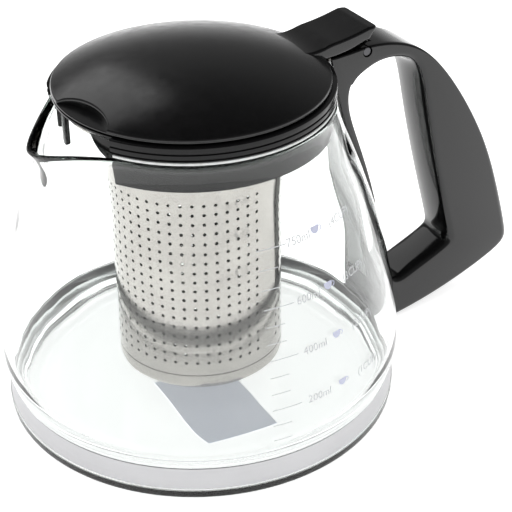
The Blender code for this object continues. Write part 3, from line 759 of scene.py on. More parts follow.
def make_collar(look):
    """Collar with a grooved lip, ledge and deep skirt, arched over the spout, and its tooth."""
    bottom = JUG_HEIGHT + GAP
    height = COLLAR_TOP - bottom
    groove = 0.00045
    corners = [(LIP_INNER, COLLAR_TOP), (NECK_RADIUS, COLLAR_TOP)]
    eases = [0.0004, 0.0005]
    for share in (0.62, 0.30):
        middle = bottom + share * height
        corners += [(NECK_RADIUS, middle + 0.0003), (NECK_RADIUS - groove, middle + 0.00015),
                    (NECK_RADIUS - groove, middle - 0.00015), (NECK_RADIUS, middle - 0.0003)]
        eases += [0.00015, 0.0001, 0.0001, 0.00015]
    seat = BEAD_HIGH.z + GAP
    corners += [(NECK_RADIUS, seat), (SKIRT_OUTER, seat), (SKIRT_OUTER, SKIRT_BOTTOM),
                (SKIRT_INNER, SKIRT_BOTTOM), (SKIRT_INNER, LEDGE_TOP - 0.0022),
                (LEDGE_INNER, LEDGE_TOP - 0.0013), (LEDGE_INNER, LEDGE_TOP), (LIP_INNER, LEDGE_TOP)]
    eases += [0.0003, 0.0003, 0.0005, 0.0003, 0.0008, 0.0003, 0.0002, 0.0004]
    profile = eased(corners, eases, 4, True)
    edge = ARCH_HALF_ANGLE
    inside = np.linspace(-edge, edge, 122) * 0.9998
    outside = np.linspace(edge * 1.0002, 2 * np.pi - edge * 1.0002, 190)
    angles = np.concatenate([inside, outside]) + np.pi
    points, faces = turned(profile, angles, True)
    from_front = np.arctan2(points[:, 1], -points[:, 0])
    open_part = np.abs(from_front) < edge
    arch = np.where(open_part, arch_height(from_front), SKIRT_BOTTOM)
    radius = np.hypot(points[:, 0], points[:, 1])
    low = points[:, 2] < COLLAR_TOP - ARCH_OUTLINE[1][1]
    cap = np.where(low, SKIRT_OUTER, BRIDGE_RADIUS)
    under_lip = (radius < LIP_INNER) & (arch > LEDGE_TOP - 0.0001)
    wanted = np.where(open_part, np.minimum(radius, cap), radius)
    wanted = np.where(under_lip, LIP_INNER, wanted)
    points[:, :2] *= (wanted / radius)[:, None]
    points[:, 2] = np.maximum(points[:, 2], arch)
    finish = black_plastic(look, "collar_plastic", 0.12, 0.25)
    add_piece("collar", (points, faces), finish, "pot", ["collar_ring"], 30.0)
    make_tooth(finish)


def make_tooth(finish):
    """Small round-ended tooth that hangs in the middle of the spout arch."""
    width, thickness, length = TOOTH_SIZE
    top = COLLAR_TOP - ARCH_OUTLINE[0][1] + 0.0002
    x = -(BRIDGE_RADIUS - thickness / 2 - 0.0001)
    half = width / 2
    turn = np.linspace(np.pi, 2 * np.pi, 13)
    outline = np.vstack([
        np.stack([half * np.cos(turn), top - length + half + half * np.sin(turn)], 1),
        [(half, top), (-half, top)],
    ])
    points, faces = plate(outline, (0, top - length / 2), thickness / 2, 0.0003)
    points = np.stack([x + points[:, 1], -points[:, 0], points[:, 2]], 1)
    add_piece("spout_tooth", (points, faces), finish, "pot")


def make_bead(look):
    """Silicone bead on the glass rim, open at the spout."""
    inner, outer = SKIRT_OUTER + GAP, NECK_RADIUS - 0.0001
    section = eased([(inner, BEAD_HIGH.z), (outer, BEAD_HIGH.z), (outer, BEAD_LOW.z), (inner, BEAD_LOW.z)],
                    0.0003, 4, True)
    edge = ARCH_HALF_ANGLE + math.radians(1.0)
    angles = np.linspace(edge, 2 * np.pi - edge, 200) + np.pi
    sections = np.stack([np.cos(angles)[:, None] * section[:, 0], np.sin(angles)[:, None] * section[:, 0],
                         np.broadcast_to(section[:, 1], (200, len(section)))], -1)
    add_piece("rim_seal", tube(sections), grey_silicone(look), "pot", ["rim_bead"])


# --- lid -------------------------------------------------------------------------------

def dome_top(radius):
    """Height of the lid's top: shoulder plus crown times (1 - (r/R)^2)^0.9."""
    share = np.clip(1 - (radius / LID_RADIUS) ** 2, 0, 1)
    return LID_SHOULDER + LID_CROWN * share ** 0.9


def dome_under(radius):
    """Height of the lid's underside, the same dome on a smaller reach."""
    share = np.clip(1 - (radius / (LID_RADIUS - LID_WALL)) ** 2, 0, 1)
    return np.maximum(LID_SHOULDER - LID_WALL + 0.0006 + LID_CROWN * share ** 0.9, LID_BOTTOM)


def lid_edge_radius(angle_from_front):
    """How far out the dome goes: to its rim, less a rounded bay over the spout.

    The bay's depth is its greatest depth times (1 - a^2)^0.6, where a is the angle from the
    bay's middle over its half angle.
    """
    share = (angle_from_front - NOTCH_MIDDLE) / NOTCH_HALF_ANGLE
    return LID_RADIUS - NOTCH_DEPTH * np.clip(1 - share ** 2, 0, 1) ** 0.6


def make_lid(look):
    """Lid: shallow dome with a rolled edge and a spout notch, its ring, tail and knuckle."""
    reach = math.radians(32)
    inside = np.linspace(-reach, reach, 140)
    outside = np.linspace(reach, 2 * np.pi - reach, 170)[1:-1]
    from_front = np.concatenate([inside, outside])
    edge = lid_edge_radius(from_front)[:, None]
    roll = 0.0007
    shares = np.sin(np.linspace(0, np.pi / 2, 44))
    top_radius = shares * (edge - roll)
    top_height = dome_top(top_radius)
    turn = np.linspace(0, np.pi / 2, 7)[1:]
    roll_radius = edge - roll * (1 - np.sin(turn))
    roll_height = dome_top(edge - roll) - roll * 1.4 * (1 - np.cos(turn))
    rim = np.full(edge.shape, LID_RADIUS)
    low = np.full(edge.shape, LID_BOTTOM)
    sill = low + SILL_THICKNESS
    wall_radius = np.concatenate([edge, rim - 0.0001, rim, rim, rim - 0.0002, edge - LID_WALL], 1)
    wall_height = np.concatenate([sill, sill, sill - 0.0001, low + 0.0002, low, low], 1)
    under_radius = shares[::-1] * (edge - LID_WALL)
    under_height = np.maximum(dome_under(under_radius), wall_height[:, -1:])
    radius = np.concatenate([top_radius, roll_radius, wall_radius, under_radius], 1)
    height = np.concatenate([top_height, roll_height, wall_height, under_height], 1)
    angle = (from_front + np.pi)[:, None]
    points = np.stack([radius * np.cos(angle), radius * np.sin(angle), height], -1)
    faces = grid_faces(*radius.shape, True, False)
    finish = black_plastic(look, "lid_plastic", look.lid_roughness)
    add_piece("lid_dome", (points.reshape(-1, 3), faces), finish, "lid", ["lid_cover"], 30.0)
    add_piece("lid_tail", tail_shape(), finish, "lid", (), 30.0)
    add_mesh("lid_knuckle", knuckle_mesh(), finish, "lid")
    make_lid_ring(look)


def tail_shape():
    """Thumb tail: a slab whose top leaves the dome and curls up to a blunt, slanted end."""
    end = LID_END - 0.0003
    along = np.concatenate([np.linspace(0, 0.9, 44), 0.9 + 0.1 * np.sin(np.linspace(0, np.pi / 2, 14))[1:]])
    across = np.sin(np.linspace(-np.pi / 2, np.pi / 2, 41))
    x = np.broadcast_to((TAIL_START + (end - TAIL_START) * along)[:, None], (len(along), len(across)))
    corner = 0.0024
    late = np.clip((x - end + corner) / corner, 0, 1)
    half = TAIL_HALF_WIDTH - corner * (1 - np.sqrt(1 - late ** 2)) * 0.9
    y = across * half
    end_z = HINGE[2] + 0.0089
    rear = flow([(TAIL_START, end_z - 0.0030), (0.0370, end_z - 0.0029), (0.0447, end_z - 0.0026),
                 (0.0525, end_z - 0.0015), (0.0590, end_z)], 60)
    rear_top = np.interp(x, rear[:, 0], rear[:, 1])
    away = smooth_step((x - TAIL_START - 0.001) / 0.016)
    dome = dome_top(np.hypot(x, y))
    top = dome - 0.0002 + away * (rear_top - dome + 0.0002)
    under = flow([(0.0380, LID_BOTTOM + 0.0002), (0.0420, LID_BOTTOM + 0.0003), (0.0455, LID_BOTTOM + 0.0004),
                  (0.0524, LID_BOTTOM + 0.0014), (0.0590, end_z - 0.0042)], 60)
    low = np.interp(x, under[:, 0], under[:, 1])
    hidden = 1 - smooth_step((x - 0.0395) / 0.002)
    bottom = low + hidden * (dome_under(np.hypot(x, y)) + 0.0006 - low)
    rounding = 0.0009
    side = np.clip((half - np.abs(y)) / rounding, 0, 1)
    rear_side = np.clip((end - x) / rounding, 0, 1)
    fall = rounding * (1 - np.sqrt(1 - (1 - side) ** 2) * np.sqrt(1 - (1 - rear_side) ** 2))
    top, bottom = top - fall, np.minimum(bottom + fall, top - fall - 0.0002)
    slant = np.clip((x - 0.050) / 0.010, 0, 1)
    points, faces = slab(x, y, top, bottom)
    lean = 0.0018 * np.concatenate([slant.ravel() * 0, slant.ravel()])
    points[:, 0] -= lean
    return points, faces


def knuckle_mesh():
    """Knuckle round the hinge pin, with a web up to the tail and a bore for the pin."""
    turn = np.radians(np.linspace(40, -180, 25))
    outline = np.vstack([
        np.stack([HINGE[0] + 0.0033 * np.cos(turn), HINGE[2] + 0.0033 * np.sin(turn)], 1),
        [(HINGE[0] - 0.0062, HINGE[2] + 0.0026), (HINGE[0] - 0.0062, HINGE[2] + 0.0048),
         (HINGE[0] - 0.0022, HINGE[2] + 0.0050)],
    ])
    body = plate(outline, (HINGE[0] - 0.0012, HINGE[2] + 0.0010), 0.0045, 0.0004)
    return carved(body, cross_rod(HINGE[0], HINGE[2], PIN_RADIUS + GAP, 0.01))


def make_lid_ring(look):
    """Ring under the dome that centres the lid in the collar."""
    outer, inner = RING_HIGH.y, RING_HIGH.y - 0.0014
    profile = eased([(inner, dome_under(inner) - 2 * GAP), (outer, dome_under(outer) - 2 * GAP),
                     (outer, RING_LOW.z), (inner, RING_LOW.z)], 0.0003, 4, True)
    add_piece("lid_inner_ring", turned(profile, even_turn(192), True), black_plastic(look), "lid",
              ["lid_ring"])


# --- handle ----------------------------------------------------------------------------

def handle_stations():
    """Matching points of the handle's outer line and of its finger hole, round the loop.

    The first line runs from the root over the grip to the foot, the second up the rib.
    Each row is (outer x, outer z, inner x, inner z, outer rounding, inner rounding, inner crown).
    """
    off = 5 * GAP
    root = NECK_RADIUS + off
    foot = BAND_HIGH.y + GAP + off
    arm = [
        (root, COLLAR_TOP - 0.0003, HINGE[0] - 0.0052, 0.0995, 0.0009, 0.0010, 0.0000),
        (root + 0.0085, COLLAR_TOP + 0.0002, HINGE[0] + 0.0005, 0.1034, 0.0009, 0.0012, 0.0000),
        (HINGE[0] + 0.0042, HINGE[2] + 0.0015, REACH - 0.0597, 0.1055, 0.0009, 0.0016, 0.0005),
        (REACH - 0.0461, 0.1071, REACH - 0.0490, 0.1036, 0.0010, 0.0018, 0.0012),
        (REACH - 0.0305, 0.0906, REACH - 0.0437, 0.0950, 0.0012, 0.0018, 0.0018),
        (REACH - 0.0151, 0.0656, REACH - 0.0400, 0.0788, 0.0024, 0.0016, 0.0020),
        (REACH - 0.0060, 0.0430, REACH - 0.0340, 0.0545, 0.0036, 0.0016, 0.0020),
        (REACH - 0.0003, 0.0235, REACH - 0.0279, 0.0315, 0.0040, 0.0020, 0.0018),
        (REACH - 0.0030, 0.0158, REACH - 0.0290, 0.0258, 0.0036, 0.0028, 0.0012),
        (REACH - 0.0290, 0.0056, REACH - 0.0430, 0.0198, 0.0026, 0.0030, 0.0006),
        (JUG_RADIUS + 0.0110, FOOT_BOTTOM, JUG_RADIUS + 0.0125, 0.0176, 0.0020, 0.0028, 0.0000),
        (foot, FOOT_BOTTOM, JUG_RADIUS + 0.0080, 0.0192, 0.0012, 0.0018, 0.0000),
    ]
    rib = [arm[-1]]
    for height in (0.0270, 0.0400, 0.0600, 0.0800, 0.0905):
        glass = float(glass_radius(height))
        inner = glass + 2 * GAP + 0.0037 + (0.0010 if height > 0.09 else 0.0)
        outer_height = height - 0.0012
        outer = float(glass_radius(outer_height)) + off
        rib.append((outer, outer_height, inner, height, 0.0009, 0.0013, 0.0))
    rib.append(arm[0])
    return np.array(arm), np.array(rib)


def handle_shape():
    """Skin of the loop handle: rounded sections between its outer line and its finger hole.

    Each section lies in the plane through an outer and an inner point and the Y axis.  Its
    inner side is crowned, and its outer side follows the round glass and collar on the rib.
    """
    arm, rib = handle_stations()
    hole = np.vstack([arm[:-1, 2:4], rib[:-1, 2:4]])
    arm_where = np.linspace(0, len(arm) - 1, 230)
    rib_where = np.linspace(0, len(rib) - 1, 90)[1:-1]
    outer = np.vstack([flow_at(arm[:, :2], arm_where), flow_at(rib[:, :2], rib_where)])
    inner = flow_at(hole, np.concatenate([arm_where, len(arm) - 1 + rib_where]), True)
    extra = np.vstack([flow_at(arm[:, 4:], arm_where), flow_at(rib[:, 4:], rib_where)])
    on_rib = np.concatenate([np.zeros(len(arm_where)), np.ones(len(rib_where))])
    on_rib[0] = on_rib[len(arm_where) - 1] = 1
    depth = np.linalg.norm(outer - inner, axis=1)
    outward = (outer - inner) / depth[:, None]
    outer_round = np.minimum(extra[:, 0], 0.45 * depth)[:, None]
    inner_round = np.minimum(extra[:, 1], 0.45 * depth)[:, None]
    crown = extra[:, 2][:, None]
    turn = np.linspace(0, np.pi / 2, 7)
    flat = np.linspace(-1, 1, 15)[1:-1]
    y_outer, d_outer = ring_half(outer_round, depth[:, None], turn, flat, 1)
    y_inner, d_inner = ring_half(inner_round, 0 * depth[:, None], turn, flat, -1)
    d_inner = d_inner - crown * np.clip(1 - (y_inner / GRIP_HALF) ** 2, 0, 1)
    y = np.concatenate([y_outer, y_inner], 1)
    d = np.concatenate([d_outer, d_inner], 1)
    x = inner[:, :1] + outward[:, :1] * d
    z = inner[:, 1:] + outward[:, 1:] * d
    bend = on_rib[:, None] * (np.sqrt(np.maximum(x ** 2 - y ** 2, 1e-9)) - x)
    x = x + bend
    return tube(np.stack([x, y, z], -1), True)


def ring_half(rounding, edge, turn, flat, side):
    """One side of a rounded section: a corner, the flat between, and the other corner.

    A corner is a quarter circle of the rounding, r (1 - cos t) along Y and r (1 - sin t) deep.
    The outer side (1) runs towards +Y and the inner side (-1) back towards -Y.
    """
    corner = -GRIP_HALF + rounding * (1 - np.cos(turn))
    fall = rounding * (1 - np.sin(turn))
    y = np.concatenate([corner, (GRIP_HALF - rounding) * flat, -corner[:, ::-1]], 1)
    d = np.concatenate([fall, 0 * rounding * flat, fall[:, ::-1]], 1)
    return side * y, edge - side * d


def make_handle(look):
    """Loop handle with the slot for the lid's knuckle and the bore for its pin."""
    slot_half = 0.0049
    slot = cross_rod(HINGE[0], HINGE[2], 0.0038, slot_half, 64)
    mouth = box_shape((HINGE[0] - 0.0075, -slot_half, HINGE[2]), (HINGE[0] + 0.0038, slot_half, 0.13))
    bore = cross_rod(HINGE[0], HINGE[2], PIN_RADIUS + GAP, 0.02)
    mesh = carved(handle_shape(), slot, mouth, bore)
    add_mesh("grip_handle", mesh, black_plastic(look), "pot", ["handle"], 32.0)


def make_hinge_pin(look):
    """Hinge pin with chamfered ends, its axis along Y."""
    half = PIN_HIGH.y
    profile = eased([(0, half), (PIN_RADIUS, half), (PIN_RADIUS, -half), (0, -half)], 0.0003, 4)
    points, faces = turned(profile, even_turn(40))
    points = np.stack([HINGE[0] + points[:, 0], -points[:, 2], HINGE[2] + points[:, 1]], 1)
    add_piece("lid_pin", (points, faces), dark_steel(look), "pot", ["hinge_pin"])


def make_screws(look):
    """Pan-head screws with a cross recess, from inside the collar into the handle's root."""
    middle_z = (SCREW_LOW.z + SCREW_HIGH.z) / 2
    head = (SCREW_HIGH.z - SCREW_LOW.z) / 2
    profile = eased([
        (0, SCREW_LOW.x), (head, SCREW_LOW.x), (head, SCREW_LOW.x + 0.001), (0.0009, SCREW_LOW.x + 0.001),
        (0.0009, SCREW_HIGH.x - 0.0006), (0.0004, SCREW_HIGH.x), (0, SCREW_HIGH.x),
    ], 0.0002, 3)
    points, faces = turned(profile * (1, -1), even_turn(32))
    for number, node in enumerate(("handle_screw_1", "handle_screw_2"), start=1):
        low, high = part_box(node)
        middle_y = (low.y + high.y) / 2
        shape = np.stack([-points[:, 2], middle_y + points[:, 0], middle_z + points[:, 1]], 1)
        depth, arm, wide = 0.0004, 0.0009, 0.00015
        start = SCREW_LOW.x
        one = box_shape((start - 0.001, middle_y - arm, middle_z - wide),
                        (start + depth, middle_y + arm, middle_z + wide))
        two = box_shape((start - 0.001, middle_y - wide, middle_z - arm),
                        (start + depth, middle_y + wide, middle_z + arm))
        add_mesh("root_screw_%d" % number, carved((shape, faces), one, two), bright_steel(look), "pot",
                 [node])


def make_pad(look):
    """Silicone strip between the rib and the glass."""
    height = np.linspace(PAD_HIGH.z, PAD_LOW.z, 50)
    glass = glass_radius(height) + GAP
    half = PAD_HIGH.y
    section = eased([(0.0009, half), (0.0009, -half), (0, -half), (0, half)], 0.0003, 3, True)
    radius = glass[:, None] + section[:, 0]
    y = np.broadcast_to(section[:, 1], radius.shape)
    x = np.sqrt(radius ** 2 - y ** 2)
    points = np.stack([x, y, np.broadcast_to(height[:, None], radius.shape)], -1)
    add_piece("rib_bedding", tube(points), grey_silicone(look), "pot", ["rib_pad"])


# --- infuser ---------------------------------------------------------------------------

def drilled_sheet(u_edges, v_edges, drilled, half_u, half_v, place):
    """A thin sheet of cells on a (u, v) grid, those marked drilled with an eight-sided hole.

    place(u, v, side) gives xyz for side 0, the outside, and 1, the inside.  A cell's eight
    edge points and eight hole points make eight quads on each side, and eight join the two.
    """
    u0, v0 = np.meshgrid(u_edges[:-1], v_edges[:-1], indexing="ij")
    u1, v1 = np.meshgrid(u_edges[1:], v_edges[1:], indexing="ij")
    middle_u, middle_v = (u0 + u1) / 2, (v0 + v1) / 2
    eighth = np.arange(8) * np.pi / 4
    step_u, step_v = np.sign(np.round(np.cos(eighth), 6)), np.sign(np.round(np.sin(eighth), 6))
    rim_u = middle_u[..., None] + (u1 - u0)[..., None] / 2 * step_u
    rim_v = middle_v[..., None] + (v1 - v0)[..., None] / 2 * step_v
    wide = np.where(drilled, 1.0, 0.0)[..., None]
    hole_u = middle_u[..., None] + wide * np.broadcast_to(half_u, middle_u.shape)[..., None] * np.cos(eighth)
    hole_v = middle_v[..., None] + wide * half_v * np.sin(eighth)
    u = np.concatenate([rim_u, hole_u], -1).reshape(-1, 16)
    v = np.concatenate([rim_v, hole_v], -1).reshape(-1, 16)
    cells = len(u)
    points = np.concatenate([place(u, v, 0).reshape(-1, 3), place(u, v, 1).reshape(-1, 3)])
    here, after = np.arange(8), (np.arange(8) + 1) % 8
    ring = np.stack([here, after, after + 8, here + 8], -1)
    start = (np.arange(cells) * 16)[:, None, None]
    outside = (start + ring).reshape(-1, 4)
    inside = outside[:, ::-1] + cells * 16
    through = np.stack([here + 8, after + 8, after + 8 + cells * 16, here + 8 + cells * 16], -1)
    through = (start[np.flatnonzero(drilled.ravel())] + through).reshape(-1, 4)
    return points, np.vstack([outside, inside, through])


def sheet_edges(u_edges, v, place):
    """Faces that close the two sides of a sheet along a line of constant v, cell by cell."""
    u = np.unique(np.concatenate([u_edges, (u_edges[1:] + u_edges[:-1]) / 2]))
    outer = place(u, np.full(u.shape, v), 0)
    inner = place(u, np.full(u.shape, v), 1)
    return np.vstack([outer, inner]), grid_faces(2, len(u))


def make_sleeve(look):
    """Drilled steel sleeve: panels of hole columns with plain strips between them."""
    radius = SLEEVE_HIGH.y
    pitch = math.radians(360 / look.hole_columns)
    start = FIRST_COLUMN - pitch / 2
    u_edges = start + pitch * np.arange(look.hole_columns + 1)
    rows = look.hole_rows
    row_pitch = (HIGHEST_ROW - LOWEST_ROW) / (rows - 1)
    v_edges = LOWEST_ROW + row_pitch * (np.arange(rows + 1) - 0.5)
    v_edges = np.concatenate([[SLEEVE_LOW.z], v_edges, [SLEEVE_HIGH.z]])
    panel = np.arange(look.hole_columns) % PANEL_PITCH < PANEL_COLUMNS
    drilled = np.zeros((look.hole_columns, rows + 2), bool)
    drilled[:, 1:-1] = panel[:, None]

    def place(u, v, side):
        out = radius - SHEET * side
        return np.stack([out * np.cos(u), out * np.sin(u), v], -1)

    hole = look.hole_diameter / 2
    shape = drilled_sheet(u_edges, v_edges, drilled, hole / radius, hole, place)
    top = sheet_edges(u_edges, v_edges[-1], place)
    bottom = sheet_edges(u_edges, v_edges[0], place)
    shape = joined(shape, (top[0], top[1][:, ::-1]), bottom)
    add_piece("strainer_sleeve", shape, satin_steel(look), "infuser",
              ["infuser_sleeve"], 50.0)


def make_cup(look):
    """Dished floor of the infuser with rings of holes, its wall tucked up inside the sleeve."""
    tuck = SLEEVE_HIGH.y - SHEET - GAP
    outer = SLEEVE_HIGH.y
    bottom = CUP_LOW.z
    neck = SLEEVE_LOW.z - GAP
    spokes, rings = 24, 5
    rim = 0.0205
    corner = 0.0048
    profile = eased([
        (rim, bottom + SHEET), (tuck - SHEET, bottom + SHEET), (tuck - SHEET, CUP_HIGH.z), (tuck, CUP_HIGH.z),
        (tuck, neck), (outer, neck), (outer, bottom), (rim, bottom),
    ], [0, corner - SHEET, 0.0001, 0.0001, 0.0002, 0.0003, corner, 0], 12)
    shell = turned(profile, even_turn(spokes * 8))
    u_edges = np.linspace(0, 2 * np.pi, spokes + 1)
    v_edges = np.concatenate([[0.0], np.linspace(0.0035, rim, rings + 1)])
    drilled = np.zeros((spokes, rings + 1), bool)
    drilled[:, 1:] = True
    middle = (v_edges[1:] + v_edges[:-1]) / 2
    hole = look.hole_diameter / 2

    def place(u, v, side):
        return np.stack([v * np.cos(u), v * np.sin(u), bottom + SHEET * side + 0 * v], -1)

    floor = drilled_sheet(u_edges, v_edges, drilled, hole / middle[None, :], hole, place)
    add_piece("strainer_cup", joined(shell, (floor[0], floor[1][:, ::-1])), satin_steel(look), "infuser",
              ["infuser_cup"], 50.0)


def make_flange(look):
    """Flat flange of the infuser with a rolled outer edge."""
    outer, inner = FLANGE_HIGH.y, SLEEVE_HIGH.y - SHEET
    top, seat = FLANGE_HIGH.z, FLANGE_LOW.z
    profile = eased([
        (inner, seat + SHEET), (outer - 0.0014, seat + SHEET), (outer - 0.0009, top), (outer, top),
        (outer, seat), (inner, seat),
    ], [0.0001, 0.0006, 0.0005, 0.0004, 0.0004, 0.0001], 6, True)
    add_piece("strainer_flange", turned(profile, even_turn(192), True), bright_steel(look), "infuser",
              ["infuser_rim"])


# --- stage -----------------------------------------------------------------------------

def make_stage(look):
    """Pale floor, soft light from above and the sides, and the camera."""
    scene = bpy.context.scene
    scene.view_settings.view_transform = "Standard"
    scene.cycles.max_bounces = 24
    scene.cycles.transmission_bounces = 24
    radius = np.concatenate([[0.0], np.geomspace(0.02, FLOOR_RADIUS, 40)])[::-1]
    points, faces = turned(np.stack([radius, np.full(41, FLOOR_LEVEL)], 1), even_turn(96))
    mesh = bpy.data.meshes.new("floor")
    mesh.from_pydata(points.tolist(), [], faces[:, ::-1].tolist())
    mesh.materials.append(paper_floor(look))
    floor = bpy.data.objects.new("floor", mesh)
    scene.collection.objects.link(floor)
    make_sky(scene)
    add_light("overhead", (0, 0, 2.5), (0, 0, 0), 4.0, look.light_power, False)
    add_light("softbox", (-0.06, 0.62, 0.62), (0, 0, 0.1), 0.45, 0.7, True)
    make_camera(scene)


def make_sky(scene):
    """Dim sky, a little lighter halfway up, so that gloss reads dark and glass has dark edges."""
    world = bpy.data.worlds.new("studio")
    scene.world = world
    world.use_nodes = True
    tree = world.node_tree
    background = tree.nodes["Background"]
    coordinates = tree.nodes.new("ShaderNodeTexCoord")
    split = tree.nodes.new("ShaderNodeSeparateXYZ")
    ramp = tree.nodes.new("ShaderNodeValToRGB")
    tree.links.new(coordinates.outputs["Generated"], split.inputs[0])
    tree.links.new(split.outputs["Z"], ramp.inputs[0])
    tree.links.new(ramp.outputs[0], background.inputs[0])
    stops = ((0.0, 0.90), (0.10, 0.60), (0.25, 0.22), (0.53, 0.20), (0.80, 0.05), (1.0, 0.015))
    for place, level in stops[1:-1]:
        ramp.color_ramp.elements.new(place).color = (level, level, level, 1.0)
    for element, (place, level) in zip((ramp.color_ramp.elements[0], ramp.color_ramp.elements[-1]),
                                       (stops[0], stops[-1])):
        element.position = place
        element.color = (level, level, level, 1.0)
    background.inputs["Strength"].default_value = 1.0


def add_light(name, place, target, size, power, in_gloss):
    """Add a square area light that faces a target."""
    light = bpy.data.lights.new(name, "AREA")
    light.size = size
    light.energy = power
    obj = bpy.data.objects.new(name, light)
    obj.location = place
    obj.rotation_euler = (Vector(target) - Vector(place)).to_track_quat("-Z", "Y").to_euler()
    obj.visible_glossy = in_gloss
    obj.visible_camera = False
    bpy.context.scene.collection.objects.link(obj)


def make_camera(scene):
    """Camera above the spout's left, looking down past the jug to the handle."""
    camera = bpy.data.cameras.new("camera")
    camera.lens = CAMERA_LENS
    camera.sensor_width = 36.0
    camera.clip_start = 0.01
    obj = bpy.data.objects.new("camera", camera)
    scene.collection.objects.link(obj)
    scene.camera = obj
    back = CAMERA_BACK.normalized()
    right = Vector((0.8660254, -0.5, 0.0))
    up = back.cross(right)
    across = right * math.cos(CAMERA_ROLL) + up * math.sin(CAMERA_ROLL)
    upward = up * math.cos(CAMERA_ROLL) - right * math.sin(CAMERA_ROLL)
    turn = Matrix((across, upward, back)).transposed().to_4x4()
    obj.matrix_world = Matrix.Translation(CAMERA_TARGET + back * CAMERA_DISTANCE) @ turn


# --- add-on ----------------------------------------------------------------------------

class TeapotLook(bpy.types.PropertyGroup):
    """Sizes and colours of the teapot that a user may change."""
    glass_wall: FloatProperty(name="Glass wall", description="Thickness of the glass wall",
                              default=0.0024, unit="LENGTH")
    hole_diameter: FloatProperty(name="Hole diameter", description="Diameter of the infuser's holes",
                                 default=0.0012, unit="LENGTH")
    hole_rows: IntProperty(name="Hole rows", description="Rows of holes up the sleeve", default=18, min=2)
    hole_columns: IntProperty(name="Hole columns", description="Places for holes round the sleeve",
                              default=48, min=8)
    scale_azimuth: FloatProperty(name="Scale azimuth", description="Where the printed ticks start, degrees",
                                 default=-98.8)
    lid_roughness: FloatProperty(name="Lid roughness", description="Roughness of the lid's plastic",
                                 default=0.2, min=0.0, max=1.0)
    light_power: FloatProperty(name="Light power", description="Power of the overhead light",
                               default=85.0, unit="POWER")
    floor_glow: FloatProperty(name="Floor glow", description="Brightness of the light table",
                              default=0.78, min=0.0)
    glass: FloatVectorProperty(name="Glass", description="Surface tint of the glass", subtype="COLOR",
                               default=(0.985, 0.995, 0.99))
    glass_lip: FloatVectorProperty(name="Glass lip", description="Tint of the glass along its lip",
                                   subtype="COLOR", default=(0.66, 0.76, 0.70))
    plastic: FloatVectorProperty(name="Plastic", description="Colour of the black plastic", subtype="COLOR",
                                 default=(0.0036, 0.0036, 0.0038))
    band: FloatVectorProperty(name="Band", description="Colour of the foot band", subtype="COLOR",
                              default=(0.49, 0.49, 0.50))
    pin: FloatVectorProperty(name="Pin", description="Colour of the hinge pin", subtype="COLOR",
                             default=(0.09, 0.09, 0.095))
    label: FloatVectorProperty(name="Foot label", description="Colour of the label under the foot",
                               subtype="COLOR", default=(0.50, 0.52, 0.58))
    steel: FloatVectorProperty(name="Steel", description="Colour of the steel", subtype="COLOR",
                               default=(0.47, 0.45, 0.425))
    silicone: FloatVectorProperty(name="Silicone", description="Colour of the silicone", subtype="COLOR",
                                  default=(0.72, 0.74, 0.73))
    print_white: FloatVectorProperty(name="Print", description="Colour of the printed scale",
                                     subtype="COLOR", default=(0.66, 0.67, 0.69))
    print_cup: FloatVectorProperty(name="Printed cups", description="Colour of the printed cups",
                                   subtype="COLOR", default=(0.62, 0.64, 0.80))
    floor: FloatVectorProperty(name="Floor", description="Colour of the floor", subtype="COLOR",
                               default=(0.93, 0.93, 0.93))


class TEAPOT_OT_jug(bpy.types.Operator):
    """Build the glass jug with its spout, floor and heel"""
    bl_idname = "teapot.jug"
    bl_label = "Glass Jug"

    def execute(self, context):
        make_jug(context.scene.teapot_look)
        return {"FINISHED"}


class TEAPOT_OT_band(bpy.types.Operator):
    """Build the steel band round the foot and the label under it"""
    bl_idname = "teapot.band"
    bl_label = "Foot Band"

    def execute(self, context):
        make_band(context.scene.teapot_look)
        make_label(context.scene.teapot_look)
        return {"FINISHED"}


class TEAPOT_OT_scale(bpy.types.Operator):
    """Print the volume scale on the glass"""
    bl_idname = "teapot.scale"
    bl_label = "Volume Scale"

    def execute(self, context):
        make_scale(context.scene.teapot_look)
        return {"FINISHED"}


class TEAPOT_OT_collar(bpy.types.Operator):
    """Build the collar, its tooth and the silicone bead under it"""
    bl_idname = "teapot.collar"
    bl_label = "Collar"

    def execute(self, context):
        make_collar(context.scene.teapot_look)
        make_bead(context.scene.teapot_look)
        return {"FINISHED"}


class TEAPOT_OT_lid(bpy.types.Operator):
    """Build the lid's dome, ring, tail and knuckle"""
    bl_idname = "teapot.lid"
    bl_label = "Lid"

    def execute(self, context):
        make_lid(context.scene.teapot_look)
        return {"FINISHED"}


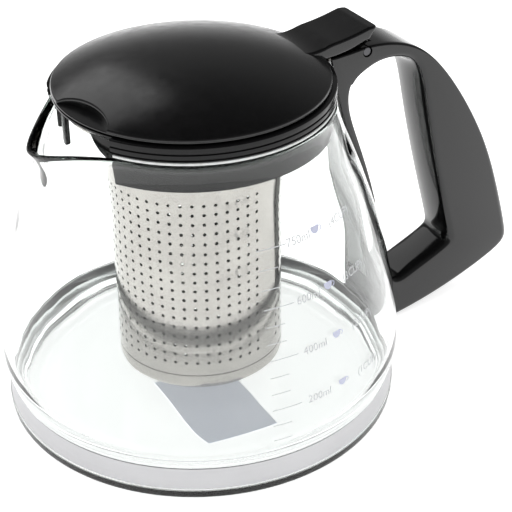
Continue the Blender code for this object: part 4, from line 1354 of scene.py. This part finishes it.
class TEAPOT_OT_handle(bpy.types.Operator):
    """Build the handle, its hinge pin, its screws and the strip behind its rib"""
    bl_idname = "teapot.handle"
    bl_label = "Handle"

    def execute(self, context):
        look = context.scene.teapot_look
        make_handle(look)
        make_hinge_pin(look)
        make_screws(look)
        make_pad(look)
        return {"FINISHED"}


class TEAPOT_OT_infuser(bpy.types.Operator):
    """Build the infuser's drilled sleeve, cup and flange"""
    bl_idname = "teapot.infuser"
    bl_label = "Infuser"

    def execute(self, context):
        look = context.scene.teapot_look
        make_sleeve(look)
        make_cup(look)
        make_flange(look)
        return {"FINISHED"}


class TEAPOT_OT_stage(bpy.types.Operator):
    """Set up the floor, the lights and the camera"""
    bl_idname = "teapot.stage"
    bl_label = "Stage"

    def execute(self, context):
        make_stage(context.scene.teapot_look)
        return {"FINISHED"}


OPERATORS = (TEAPOT_OT_jug, TEAPOT_OT_band, TEAPOT_OT_scale, TEAPOT_OT_collar, TEAPOT_OT_lid,
             TEAPOT_OT_handle, TEAPOT_OT_infuser, TEAPOT_OT_stage)


class TEAPOT_PT_panel(bpy.types.Panel):
    """Sidebar panel that lists the teapot's values and pieces"""
    bl_idname = "TEAPOT_PT_panel"
    bl_label = "Glass Teapot"
    bl_space_type = "VIEW_3D"
    bl_region_type = "UI"
    bl_category = "Teapot"

    def draw(self, context):
        look = context.scene.teapot_look
        for name in TeapotLook.__annotations__:
            self.layout.prop(look, name)
        for operator in OPERATORS:
            self.layout.operator(operator.bl_idname)


CLASSES = (TeapotLook, *OPERATORS, TEAPOT_PT_panel)


def register():
    for made in CLASSES:
        bpy.utils.register_class(made)
    bpy.types.Scene.teapot_look = PointerProperty(type=TeapotLook)


def unregister():
    del bpy.types.Scene.teapot_look
    for made in reversed(CLASSES):
        bpy.utils.unregister_class(made)


def main():
    """Register the add-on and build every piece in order."""
    register()
    bpy.ops.teapot.jug()
    bpy.ops.teapot.band()
    bpy.ops.teapot.scale()
    bpy.ops.teapot.collar()
    bpy.ops.teapot.lid()
    bpy.ops.teapot.handle()
    bpy.ops.teapot.infuser()
    bpy.ops.teapot.stage()


if __name__ == "__main__":
    main()
